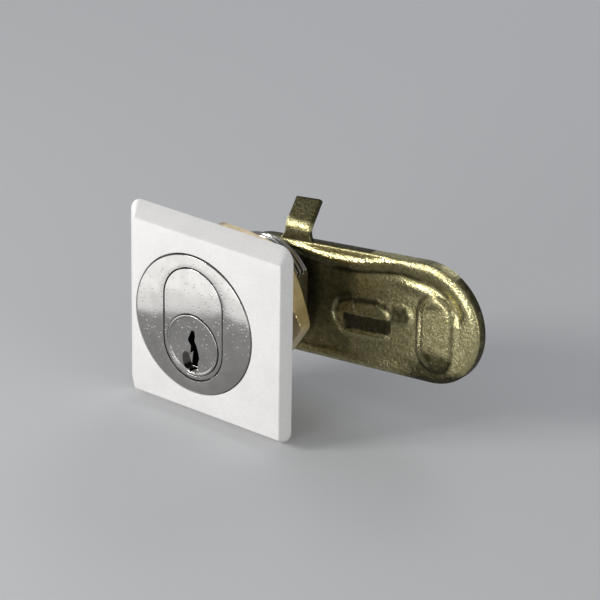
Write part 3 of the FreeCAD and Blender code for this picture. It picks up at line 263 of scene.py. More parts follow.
def oval_radius(angle: np.ndarray, half: float, rise: float) -> np.ndarray:
    """Distance of an upright oval's edge from its middle.

    The oval is two half circles of radius half, with centres rise above and below the middle, joined by
    straight sides: the ray meets a side where that lies between the centres, and else the nearer circle.

    Args:
        angle: directions from +X towards +Z.
        half: half the width.
        rise: height of the upper centre.

    Returns:
        One distance for each direction.
    """
    across, up = np.abs(np.cos(angle)), np.abs(np.sin(angle))
    side = half / np.maximum(across, TINY)
    end = rise * up + np.sqrt(np.maximum(half ** 2 - (rise * across) ** 2, 0.0))
    return np.where(side * up <= rise, side, end)


def blend_loops(start: np.ndarray, corner: np.ndarray, end: np.ndarray, steps: int = 4) -> np.ndarray:
    """A soft edge: the quadratic curve between two loops, or points, pulled towards the sharp corner's.

    Args:
        start: loop or point where the first face ends.
        corner: loop or point of the sharp edge.
        end: loop or point where the next face starts.
        steps: number of strips in the curve.

    Returns:
        The steps + 1 loops or points of the curve.
    """
    way = np.linspace(0, 1, steps + 1).reshape(-1, *[1] * np.ndim(start))
    return (1 - way) ** 2 * start + 2 * way * (1 - way) * corner + way ** 2 * end


def soft_path(points: list[Pair], radius: float, steps: int = 4) -> np.ndarray:
    """A path of straight runs whose inner corners are drawn as short quadratic curves.

    Args:
        points: corners of the path.
        radius: distance from each corner at which its curve starts, at most half of a run.
        steps: number of strips in each curve.

    Returns:
        The path's points as (points, 2).
    """
    corners = np.array(points, float)
    path = [corners[:1]]
    for before, corner, after in zip(corners[:-2], corners[1:-1], corners[2:]):
        back, ahead = before - corner, after - corner
        reach_back = min(radius, np.hypot(*back) / 2)
        reach_ahead = min(radius, np.hypot(*ahead) / 2)
        start = corner + back / np.hypot(*back) * reach_back
        end = corner + ahead / np.hypot(*ahead) * reach_ahead
        path.append(blend_loops(start, corner, end, steps))
    path.append(corners[-1:])
    return np.concatenate(path)


def turned(path: np.ndarray, x: float, z: float, count: int) -> np.ndarray:
    """Carry a path round a line along +Y, so that each of its points becomes a circle about (x, z).

    Args:
        path: the path's (radius, y) points.
        x: where the line stands across.
        z: where the line stands up.
        count: points round the line.

    Returns:
        The surface as (path points, count, 3).
    """
    angle = full_turn(count)[None, :]
    radius, depth = path[:, :1], path[:, 1:]
    return np.stack([x + radius * np.cos(angle), depth + 0 * angle, z + radius * np.sin(angle)], axis=-1)


def capped(rows: np.ndarray, name: str = "cutter", crease: float = CREASE) -> Piece:
    """A bar through successive loops, closed by a flat face at each end."""
    return Shell().grid(rows).flat(rows[0]).flat(rows[-1]).build(name, crease)


def post(radius: float, foot: float, top: float, y: float, x: float = 0.0) -> Piece:
    """A plain round bar along +Z, used as a cutter.

    Args:
        radius: the bar's radius.
        foot: z of its lower end.
        top: z of its upper end.
        y: where its axis stands behind the panel plane.
        x: where its axis stands across.

    Returns:
        The cutter.
    """
    angle = full_turn(40)
    ring = np.stack([x + radius * np.cos(angle), y + radius * np.sin(angle), 0 * angle], axis=-1)
    return capped(np.stack([ring + (0, 0, foot), ring + (0, 0, top)]))


def prism(outline: np.ndarray, start: float, end: float, flare: float = 0.0) -> Piece:
    """A bar along +Y over an outline of (x, z) points, used as a cutter.

    Args:
        outline: the corners, counter-clockwise.
        start: y of the front end.
        end: y of the rear end.
        flare: half the width and half the depth of a chamfered mouth, or 0 for none.

    Returns:
        The cutter.
    """
    levels = [(start, 0.0), (end, 0.0)]
    if flare:
        levels = [(start, 2 * flare), (start + 2 * flare, 0.0), (end, 0.0)]
    return capped(np.stack([loop_at(*widened(outline, grow).T, y) for y, grow in levels]))


def widened(outline: np.ndarray, grow: float, sharpest: float = 0.4) -> np.ndarray:
    """An outline moved outwards along the mean of its neighbouring edge normals.

    Args:
        outline: the corners as (points, 2).
        grow: how far each edge moves.
        sharpest: bounds the reach of a sharp corner, which else would run far out.

    Returns:
        The moved corners.
    """
    ahead = np.roll(outline, -1, axis=0) - outline
    normal = np.stack([ahead[:, 1], -ahead[:, 0]], axis=-1)
    normal /= np.linalg.norm(normal, axis=1, keepdims=True)
    mean = normal + np.roll(normal, 1, axis=0)
    mean /= np.maximum(np.sum(mean * normal, axis=1, keepdims=True), sharpest)
    return outline + mean * grow


def smooth_step(value: np.ndarray) -> np.ndarray:
    """Rise smoothly from 0 to 1 as value goes from 0 to 1."""
    value = np.clip(value, 0, 1)
    return value * value * (3 - 2 * value)


def rising(value: np.ndarray, start: float, over: float | np.ndarray = 1.0) -> np.ndarray:
    """Rise smoothly from 0, where value passes start, to 1, a stretch of over further on."""
    return smooth_step((value - start) / over)


def falling(value: np.ndarray, end: float, over: float = 1.0) -> np.ndarray:
    """Fall smoothly from 1, a stretch of over before end, to 0, where value reaches end."""
    return smooth_step((end - value) / over)


def band(value: np.ndarray, middle: float, width: float) -> np.ndarray:
    """A soft hill, 1 where value is at middle and about a third a width away from it."""
    return np.exp(-((value - middle) / width) ** 2)


def places(piece: Piece) -> np.ndarray:
    """The x, y and z of every vertex of a piece, in millimetres, as (3, points)."""
    points = np.empty(len(piece.data.vertices) * 3)
    piece.data.vertices.foreach_get("co", points)
    return points.reshape(-1, 3).T / MM


def mark(piece: Piece, name: str, values: np.ndarray, domain: str = "POINT") -> None:
    """Write one number for each vertex or face of a piece as an attribute."""
    attribute = piece.data.attributes.new(name, "FLOAT", domain)
    attribute.data.foreach_set("value", values.astype(np.float32))


class Nodes:
    """Builds one material's nodes; textures read the piece's own place in the lock."""

    def __init__(self, name: str) -> None:
        """Start a material with a shader and object coordinates.

        Args:
            name: the material's name.
        """
        self.material = bpy.data.materials.new(name)
        self.material.use_nodes = True
        self.tree = self.material.node_tree
        self.shader = self.tree.nodes["Principled BSDF"]
        self.place = self.tree.nodes.new("ShaderNodeTexCoord").outputs["Object"]

    def add(self, kind: str, links: dict[str, object] | None = None, **settings: object) -> bpy.types.Node:
        """Add a node.

        Args:
            kind: the node's type without its ShaderNode prefix.
            links: socket name to a value or to another node's output.
            settings: properties of the node itself.

        Returns:
            The node.
        """
        node = self.tree.nodes.new("ShaderNode" + kind)
        for name, value in settings.items():
            setattr(node, name, value)
        for name, value in (links or {}).items():
            if isinstance(value, Socket):
                self.tree.links.new(value, node.inputs[name])
            else:
                node.inputs[name].default_value = value
        return node

    def noise(self, size: float, detail: float = 3.0, stretch: Point | None = None) -> Socket:
        """Cloudy noise.

        Args:
            size: about how large its blots are, in millimetres.
            detail: how many finer layers lie over the blots.
            stretch: scale along each axis; under 1 draws the blots out along it.

        Returns:
            The noise.
        """
        place = self.place
        if stretch:
            place = self.add("Mapping", {"Vector": place, "Scale": stretch}).outputs["Vector"]
        links = {"Vector": place, "Scale": 1 / (size * MM), "Detail": detail}
        return self.add("TexNoise", links).outputs["Fac"]

    def cells(self, size: float) -> Socket:
        """Distance inside irregular cells of about size millimetres."""
        return self.add("TexVoronoi", {"Vector": self.place, "Scale": 1 / (size * MM)}).outputs["Distance"]

    def ramp(self, factor: Socket, stops: list[tuple[float, Colour]]) -> Socket:
        """Turn a factor into colours.

        Args:
            factor: the factor, from 0 to 1.
            stops: rising places in that range, each with its colour.

        Returns:
            The colour.
        """
        node = self.add("ValToRGB", {"Fac": factor})
        elements = node.color_ramp.elements
        while len(elements) < len(stops):
            elements.new(0.5)
        for element, (position, colour) in zip(elements, stops):
            element.position = position
            element.color = (*colour, 1.0)
        return node.outputs["Color"]

    def spread(self, factor: Socket, source: Pair, target: Pair) -> Socket:
        """Map a factor in a straight line from one range to another, held at the ends."""
        links = {"Value": factor, "From Min": source[0], "From Max": source[1], "To Min": target[0],
                 "To Max": target[1]}
        return self.add("MapRange", links).outputs["Result"]

    def total(self, first: Socket, second: Socket, operation: str = "ADD") -> Socket:
        """Join two factors by a sum or, on request, another operation.

        Args:
            first: the first factor.
            second: the second factor.
            operation: how they are joined.

        Returns:
            The joined factor.
        """
        node = self.add("Math", operation=operation)
        self.tree.links.new(first, node.inputs[0])
        self.tree.links.new(second, node.inputs[1])
        return node.outputs["Value"]

    def product(self, first: Socket, second: Socket) -> Socket:
        """Multiply two colours; a mixer has several sockets of one name, so its colour sockets go by number.

        Args:
            first: the first colour.
            second: the second colour.

        Returns:
            The product.
        """
        node = self.add("Mix", {"Factor": 1.0}, data_type="RGBA", blend_type="MULTIPLY")
        colour_a, colour_b, result = node.inputs[6], node.inputs[7], node.outputs[2]
        self.tree.links.new(first, colour_a)
        self.tree.links.new(second, colour_b)
        return result

    def bump(self, height: Socket, depth: float, strength: float = 1.0,
             under: Socket | None = None) -> Socket:
        """Turn a height into a relief.

        Args:
            height: the height, from 0 to 1.
            depth: how deep the relief is, in millimetres.
            strength: how strongly it shows.
            under: another relief that this one lies on.

        Returns:
            The relief's normal.
        """
        links: dict[str, object] = {"Height": height, "Distance": depth * MM, "Strength": strength}
        if under is not None:
            links["Normal"] = under
        return self.add("Bump", links).outputs["Normal"]

    def dress(self, **sockets: object) -> Material:
        """Set the shader's sockets; an underscore in a name stands for a space.

        Args:
            sockets: a constant or another node's output for each socket.

        Returns:
            The finished material.
        """
        for name, value in sockets.items():
            socket = self.shader.inputs[name.replace("_", " ")]
            if isinstance(value, Socket):
                self.tree.links.new(value, socket)
            else:
                socket.default_value = value
        return self.material


@dataclass(frozen=True)
class PowderCoat:
    """Fine powder coat: a pale ground with a faint orange peel and soft duller clouds."""

    name: str = "plate_powder_coat"
    pale: Colour = (0.83, 0.815, 0.80)
    dull: Colour = (0.77, 0.755, 0.745)
    cloud: float = 9.0
    peel: float = 0.55
    relief: float = 0.012
    rough: Pair = (0.42, 0.58)
    specular: float = 0.45

    def material(self) -> Material:
        """Build the paint."""
        nodes = Nodes(self.name)
        cloud = nodes.noise(self.cloud, 4.0)
        grain = nodes.noise(self.peel, 2.0)
        colour = nodes.ramp(nodes.total(cloud, grain, "MULTIPLY"), [(0.12, self.dull), (0.34, self.pale)])
        rough = nodes.spread(grain, CLOUDS, self.rough)
        normal = nodes.bump(grain, self.relief)
        return nodes.dress(Base_Color=colour, Roughness=rough, Normal=normal,
                           Specular_IOR_Level=self.specular)


@dataclass(frozen=True)
class SatinNickel:
    """Satin nickel plate: fine brushing along one axis, small pits, uneven gloss, and painted shade where
    marked.
    """

    name: str
    colour: Colour = (0.375, 0.364, 0.352)
    shade: Colour = (0.335, 0.325, 0.314)
    # The dark colour of the painted shade in marked recesses.
    recess_shade_colour: Colour = (0.10, 0.095, 0.085)
    gloss: Pair = (0.07, 0.13)
    cloud: float = 4.0
    line: float = 0.16
    brushing: Point = (0.12, 1.0, 1.0)
    relief: float = 0.0035
    pit_spacing: float = 1.2
    pit_reach: Pair = (0.03, 0.24)
    pit_depth: float = 0.05
    pit_strength: float = 0.8

    def material(self) -> Material:
        """Build the plating."""
        nodes = Nodes(self.name)
        cloud = nodes.noise(self.cloud, 4.0)
        lines = nodes.noise(self.line, 3.0, self.brushing)
        pits = nodes.spread(nodes.cells(self.pit_spacing), self.pit_reach, (0.0, 1.0))
        colour = nodes.ramp(cloud, [(0.35, self.shade), (0.62, self.colour)])
        rough = nodes.spread(nodes.total(cloud, lines, "MULTIPLY"), (0.12, 0.40), self.gloss)
        relief = nodes.bump(pits, self.pit_depth, self.pit_strength, nodes.bump(lines, self.relief))
        # Marked keyway walls and thread roots are darkened here: painted shade.
        recess_shade = nodes.add("Attribute", attribute_name=RECESS_SHADE).outputs["Fac"]
        shaded = nodes.product(colour, nodes.ramp(recess_shade, [(0.1, WHITE), (0.9, self.recess_shade_colour)]))
        return nodes.dress(Base_Color=shaded, Metallic=1.0, Roughness=rough, Normal=relief)


@dataclass(frozen=True)
class ZincPlate:
    """Zinc plate or bare steel: a light or dark metal with soft clouds and a fine grain."""

    name: str
    colour: Colour = (0.62, 0.65, 0.68)
    shade: Colour = (0.45, 0.49, 0.52)
    gloss: Pair = (0.18, 0.34)
    cloud: float = 3.0
    grain: float = 0.35
    relief: float = 0.004

    def material(self) -> Material:
        """Build the metal."""
        nodes = Nodes(self.name)
        cloud = nodes.noise(self.cloud, 5.0)
        grain = nodes.noise(self.grain, 3.0)
        colour = nodes.ramp(cloud, [(0.34, self.shade), (0.60, self.colour)])
        rough = nodes.spread(cloud, CLOUDS, self.gloss)
        normal = nodes.bump(grain, self.relief)
        return nodes.dress(Base_Color=colour, Metallic=1.0, Roughness=rough, Normal=normal)


@dataclass(frozen=True)
class Brass:
    """Brass: warm metal with tarnish clouds and faint tool marks across the axis."""

    name: str
    colour: Colour = (0.95, 0.79, 0.51)
    shade: Colour = (0.76, 0.60, 0.36)
    gloss: Pair = (0.30, 0.46)
    cloud: float = 5.0
    mark: float = 0.25
    turning: Point = (0.25, 1.0, 0.25)
    relief: float = 0.008

    def material(self) -> Material:
        """Build the brass."""
        nodes = Nodes(self.name)
        cloud = nodes.noise(self.cloud, 5.0)
        marks = nodes.noise(self.mark, 3.0, self.turning)
        colour = nodes.ramp(cloud, [(0.32, self.shade), (0.62, self.colour)])
        rough = nodes.spread(nodes.total(cloud, marks, "MULTIPLY"), (0.12, 0.42), self.gloss)
        normal = nodes.bump(marks, self.relief)
        return nodes.dress(Base_Color=colour, Metallic=1.0, Roughness=rough, Normal=normal)


@dataclass(frozen=True)
class YellowPassivated:
    """Yellow-passivated zinc on pressed sheet: olive gold, painted highlights on crests, painted shade in
    hollows.
    """

    name: str = "cam_yellow_passivated"
    gold: Colour = (0.74, 0.685, 0.40)
    olive: Colour = (0.60, 0.55, 0.27)
    # The next three colours scale the colour by the marked value: painted shade, plain surface, painted
    # highlight; crest also ends the grit ramp.
    painted_shade: Colour = (0.10, 0.098, 0.09)
    plain: Colour = (0.74, 0.73, 0.71)
    crest: Colour = WHITE
    gloss: Pair = (0.44, 0.16)
    blot: float = 1.6
    grain: float = 0.7
    relief: float = 0.17
    grit: float = 0.5
    speck: Colour = (0.62, 0.61, 0.58)
    drawing: float = 0.3
    drawn_out: Point = (1.0, 1.0, 0.12)
    drawn_relief: float = 0.012
    wear_and_light_break: Pair = (-0.07, 0.07)
    gloss_break: Pair = (-0.08, 0.08)

    def material(self) -> Material:
        """Build the passivated metal."""
        nodes = Nodes(self.name)
        blot = nodes.noise(self.blot, 5.0)
        grain = nodes.noise(self.grain, 3.0)
        drawn = nodes.noise(self.drawing, 2.0, self.drawn_out)
        # The marked value paints shade and highlights into the colour and also sets the roughness.
        worn_and_lit = nodes.add("Attribute", attribute_name=WEAR_AND_LIGHT).outputs["Fac"]
        broken = nodes.total(worn_and_lit, nodes.spread(blot, CLOUDS, self.wear_and_light_break))
        colour = nodes.ramp(blot, [(0.30, self.olive), (0.68, self.gold)])
        grit = nodes.ramp(nodes.noise(self.grit, 2.0), [(0.36, self.speck), (0.58, self.crest)])
        colour = nodes.product(colour, grit)
        shade = nodes.ramp(broken, [(0.02, self.painted_shade), (0.5, self.plain), (0.95, self.crest)])
        uneven = nodes.total(broken, nodes.spread(grain, CLOUDS, self.gloss_break))
        rough = nodes.spread(uneven, (0.1, 0.9), self.gloss)
        relief = nodes.bump(grain, self.relief, 1.0, nodes.bump(drawn, self.drawn_relief))
        rubbed_and_lit = nodes.product(colour, shade)
        return nodes.dress(Base_Color=rubbed_and_lit, Metallic=1.0, Roughness=rough, Normal=relief)


@dataclass(frozen=True)
class Rubber:
    """Black rubber: matt, slightly dusty."""

    name: str = "seal_rubber"
    black: Colour = (0.018, 0.018, 0.019)
    dusty: Colour = (0.05, 0.05, 0.052)
    cloud: float = 2.0
    grain: float = 0.4
    relief: float = 0.02
    rough: Pair = (0.55, 0.8)

    def material(self) -> Material:
        """Build the rubber."""
        nodes = Nodes(self.name)
        grain = nodes.noise(self.grain, 4.0)
        colour = nodes.ramp(nodes.noise(self.cloud, 5.0), [(0.4, self.black), (0.75, self.dusty)])
        rough = nodes.spread(grain, CLOUDS, self.rough)
        return nodes.dress(Base_Color=colour, Roughness=rough, Normal=nodes.bump(grain, self.relief))


@dataclass(frozen=True)
class SoftBox:
    """One soft box of the studio, or a card that only shows in polished metal.

    It hangs at place and looks at aim, both in millimetres; size is its width and height, power is in watts
    and spread is the angle that its grid lets through, in degrees.
    """

    name: str
    place: Point
    aim: Point
    size: Pair
    power: float
    colour: Colour = WHITE
    card: bool = False
    spread: float = 180.0

    def hang(self) -> None:
        """Make the lamp, turn it to its aim and hide it from the camera."""
        data = bpy.data.lights.new(self.name, "AREA")
        data.shape = "RECTANGLE"
        data.size, data.size_y = self.size[0] * MM, self.size[1] * MM
        data.energy = self.power
        data.spread = math.radians(self.spread)
        data.color = self.colour
        light = bpy.data.objects.new(self.name, data)
        light.visible_camera = False
        light.visible_diffuse = not self.card
        turn = (Vector(self.aim) - Vector(self.place)).to_track_quat("-Z", "Y")
        light.matrix_world = Matrix.Translation(Vector(self.place) * MM) @ turn.to_matrix().to_4x4()
        bpy.context.scene.collection.objects.link(light)


@dataclass(frozen=True)
class Studio:
    """Floor, lamps, world and camera.

    The two plate cards stand side on in front of the plate, at plate_way times plate_reach from its face, one
    above the other, and give the polished disc its dark lower and bright upper half.
    """

    floor: Colour = (0.68, 0.685, 0.695)
    floor_level: float = -28.4
    floor_size: float = 6000.0
    floor_cloud: float = 400.0
    floor_shade: float = 0.98
    sky: Colour = (0.94, 0.97, 1.0)
    ambient: float = 0.36
    plate_face: float = FRONT
    plate_reach: float = 69.0
    plate_way: Pair = (-0.615, -0.788)
    plate_card_width: float = 240.0
    card_lift: float = 0.4
    azimuth: float = 38.0
    elevation: float = 24.5
    roll: float = 0.867
    distance: float = 900.0
    shift_right: float = 25.008
    shift_up: float = 4.851
    lens: float = 203.45
    sensor: float = 36.0
    clip_start: float = 0.05

    def build(self) -> None:
        """Set up the whole studio."""
        bpy.context.scene.view_settings.view_transform = "Standard"
        self.make_floor()
        self.make_world()
        for box in self.boxes():
            box.hang()
        self.make_camera()

    def make_floor(self) -> None:
        """Lay the plain pale floor under the plate's lower edge."""
        half = self.floor_size / 2
        corners = [(-half, -half), (half, -half), (half, half), (-half, half)]
        mesh = bpy.data.meshes.new("floor")
        mesh.from_pydata([(x * MM, y * MM, self.floor_level * MM) for x, y in corners], [], [(0, 1, 2, 3)])
        floor = bpy.data.objects.new("floor", mesh)
        bpy.context.scene.collection.objects.link(floor)
        nodes = Nodes("floor_paper")
        darker = tuple(self.floor_shade * part for part in self.floor)
        colour = nodes.ramp(nodes.noise(self.floor_cloud, 2.0), [(0.2, darker), (0.8, self.floor)])
        mesh.materials.append(nodes.dress(Base_Color=colour, Roughness=0.7, Specular_IOR_Level=0.2))

    def make_world(self) -> None:
        """Even dim light from all round."""
        world = bpy.data.worlds.new("studio")
        world.use_nodes = True
        backdrop = world.node_tree.nodes["Background"]
        backdrop.inputs["Color"].default_value = (*self.sky, 1.0)
        backdrop.inputs["Strength"].default_value = self.ambient
        bpy.context.scene.world = world

    def boxes(self) -> list[SoftBox]:
        """A key box on the left, fills in front, on the right and behind, and low cards for the plating."""
        floor, reach = self.floor_level, self.plate_reach
        foot = (self.plate_way[0] * reach, self.plate_face + self.plate_way[1] * reach)
        boxes = [
            SoftBox("key", (-520, -690, 380), (20, 10, 0), (340, 220), 3.9, (1.0, 0.985, 0.965)),
            SoftBox("front_fill", (40, -900, 130), (50, 10, 0), (420, 240), 2.0),
            SoftBox("right_fill", (850, -100, 90), (20, 10, 0), (400, 400), 1.6),
            SoftBox("back_fill", (-200, 700, 500), (20, 10, 0), (400, 250), 0.7, (0.93, 0.96, 1.0)),
            SoftBox("left_card", (-320, 70, 50), (54, 28, 0), (70, 120), 0.34, card=True),
            SoftBox("boss_card", (-13, 23, floor + self.card_lift), (50, 28, 1), (26, 14), 2.2e-4, card=True,
                    spread=40),
        ]
        for name, low, high, power in (("low_card", 0.0, 8.0, 0.0080), ("high_card", 8.0, 50.0, 0.057)):
            middle = floor + (low + high) / 2
            boxes.append(SoftBox(name, (*foot, middle), (0, self.plate_face, middle),
                                 (self.plate_card_width, high - low), power, card=True))
        return boxes

    def make_camera(self) -> None:
        """Place the camera at the photographed view, looking down from the front right."""
        turn, tilt, roll = (math.radians(angle) for angle in (self.azimuth, self.elevation, self.roll))
        ahead = Vector((-math.sin(turn) * math.cos(tilt), math.cos(turn) * math.cos(tilt), -math.sin(tilt)))
        level = Vector((math.cos(turn), math.sin(turn), 0.0))
        upright = level.cross(ahead)
        right = level * math.cos(roll) + upright * math.sin(roll)
        up = upright * math.cos(roll) - level * math.sin(roll)
        place = (right * self.shift_right + up * self.shift_up - ahead * self.distance) * MM
        data = bpy.data.cameras.new("camera")
        data.lens = self.lens
        data.sensor_width = self.sensor
        data.clip_start = self.clip_start
        camera = bpy.data.objects.new("camera", data)
        axes = Matrix((right, up, -ahead)).transposed().to_4x4()
        camera.matrix_world = Matrix.Translation(place) @ axes
        bpy.context.scene.collection.objects.link(camera)
        bpy.context.scene.camera = camera


@dataclass
class FacePlate:
    """The painted plate: drafted sides, seat for the disc, flat-sided hole and gasket groove."""

    width: float = 50.0
    height: float = 50.0
    centre: float = 4.24
    depth: float = 5.2
    flare_left: float = 5.3
    flare_right: float = 0.2
    flare_height: float = 3.4
    front_corner: float = 0.5
    back_corner: float = 4.2
    seat_radius: float = 19.95
    seat_floor: float = -2.0
    hole_radius: float = 16.1
    hole_flat: float = 13.1
    groove_inner: float = 21.0
    groove_outer: float = 24.0
    groove_floor: float = -1.2
    edge: float = 0.4
    rim: float = 0.16
    least_corner: float = 0.05
    side_steps: int = 26
    corner_steps: int = 12

    def frame(self, share: float, inset: float, y: float) -> np.ndarray:
        """A rectangle with round corners between the front outline and the back outline.

        Each side has the same number of points at every level, and each corner is a quarter circle.

        Args:
            share: 0 at the front outline and 1 at the back outline.
            inset: distance drawn in all round.
            y: the level.

        Returns:
            The loop, counter-clockwise from the middle of the right side.
        """
        corner = self.front_corner + (self.back_corner - self.front_corner) * share - inset
        radius = max(corner, self.least_corner)
        right = self.centre + self.width / 2 + self.flare_right * share - inset
        left = self.centre - self.width / 2 - self.flare_left * share + inset
        top = self.height / 2 + self.flare_height * share - inset
        quarter = np.linspace(0, np.pi / 2, self.corner_steps + 1)
        way = np.linspace(0, 1, self.side_steps)[1:-1, None]
        arcs = []
        for turn, (edge_x, edge_z) in enumerate(((right, top), (left, top), (left, -top), (right, -top))):
            angle = quarter + turn * np.pi / 2
            middle_x = edge_x - math.copysign(radius, edge_x - self.centre)
            middle_z = edge_z - math.copysign(radius, edge_z)
            across, up = middle_x + radius * np.cos(angle), middle_z + radius * np.sin(angle)
            arcs.append(np.stack([across, up], axis=-1))
        path = []
        for arc, following in zip(arcs, arcs[1:] + arcs[:1]):
            path += [arc, arc[-1] + (following[0] - arc[-1]) * way]
        return loop_at(*np.concatenate(path).T, y)

    def directions(self) -> np.ndarray:
        """Directions of the front outline's points about the barrel axis, which every ring shares."""
        guide = self.frame(0, 0, -self.depth)
        return np.arctan2(guide[:, 2], guide[:, 0])

    def ring(self, radius: float, y: float) -> np.ndarray:
        """A circle through the plate's directions."""
        return polar(self.directions(), radius, y)

    def hole(self, y: float, grow: float = 0.0) -> np.ndarray:
        """The flat-sided hole, widened by grow: the nearer of circle and flats in each direction."""
        angle = self.directions()
        flats = (self.hole_flat + grow) / np.maximum(np.abs(np.cos(angle)), TINY)
        return polar(angle, np.minimum(self.hole_radius + grow, flats), y)

    def build(self) -> Piece:
        """Stack the loops from the seat round the outside and back through the hole.

        Returns:
            The plate.
        """
        front, seat, rim = -self.depth, self.seat_radius, self.rim
        inner, outer, floor = self.groove_inner, self.groove_outer, self.groove_floor
        lean = self.edge / self.depth
        sides = [self.frame(share, 0, front * (1 - share)) for share in (lean, 0.35, 0.65, 1 - lean / 2)]
        rows = [
            self.ring(seat, self.seat_floor)[None],
            blend_loops(self.ring(seat, front + rim), self.ring(seat, front), self.ring(seat + rim, front)),
            blend_loops(self.frame(0, self.edge, front), self.frame(0, 0, front), sides[0], 6),
            np.stack(sides[1:3]),
            blend_loops(sides[3], self.frame(1, 0, 0), self.frame(1, self.edge / 2, 0), 3),
            np.stack([self.ring(*step) for step in ((outer, 0), (outer, floor), (inner, floor), (inner, 0))]),
            blend_loops(self.hole(0, rim), self.hole(0), self.hole(-rim), 2),
            np.stack([self.hole(self.seat_floor), self.ring(seat, self.seat_floor)]),
        ]
        return Shell().grid(np.concatenate(rows)).build("painted_plate", 28.0)


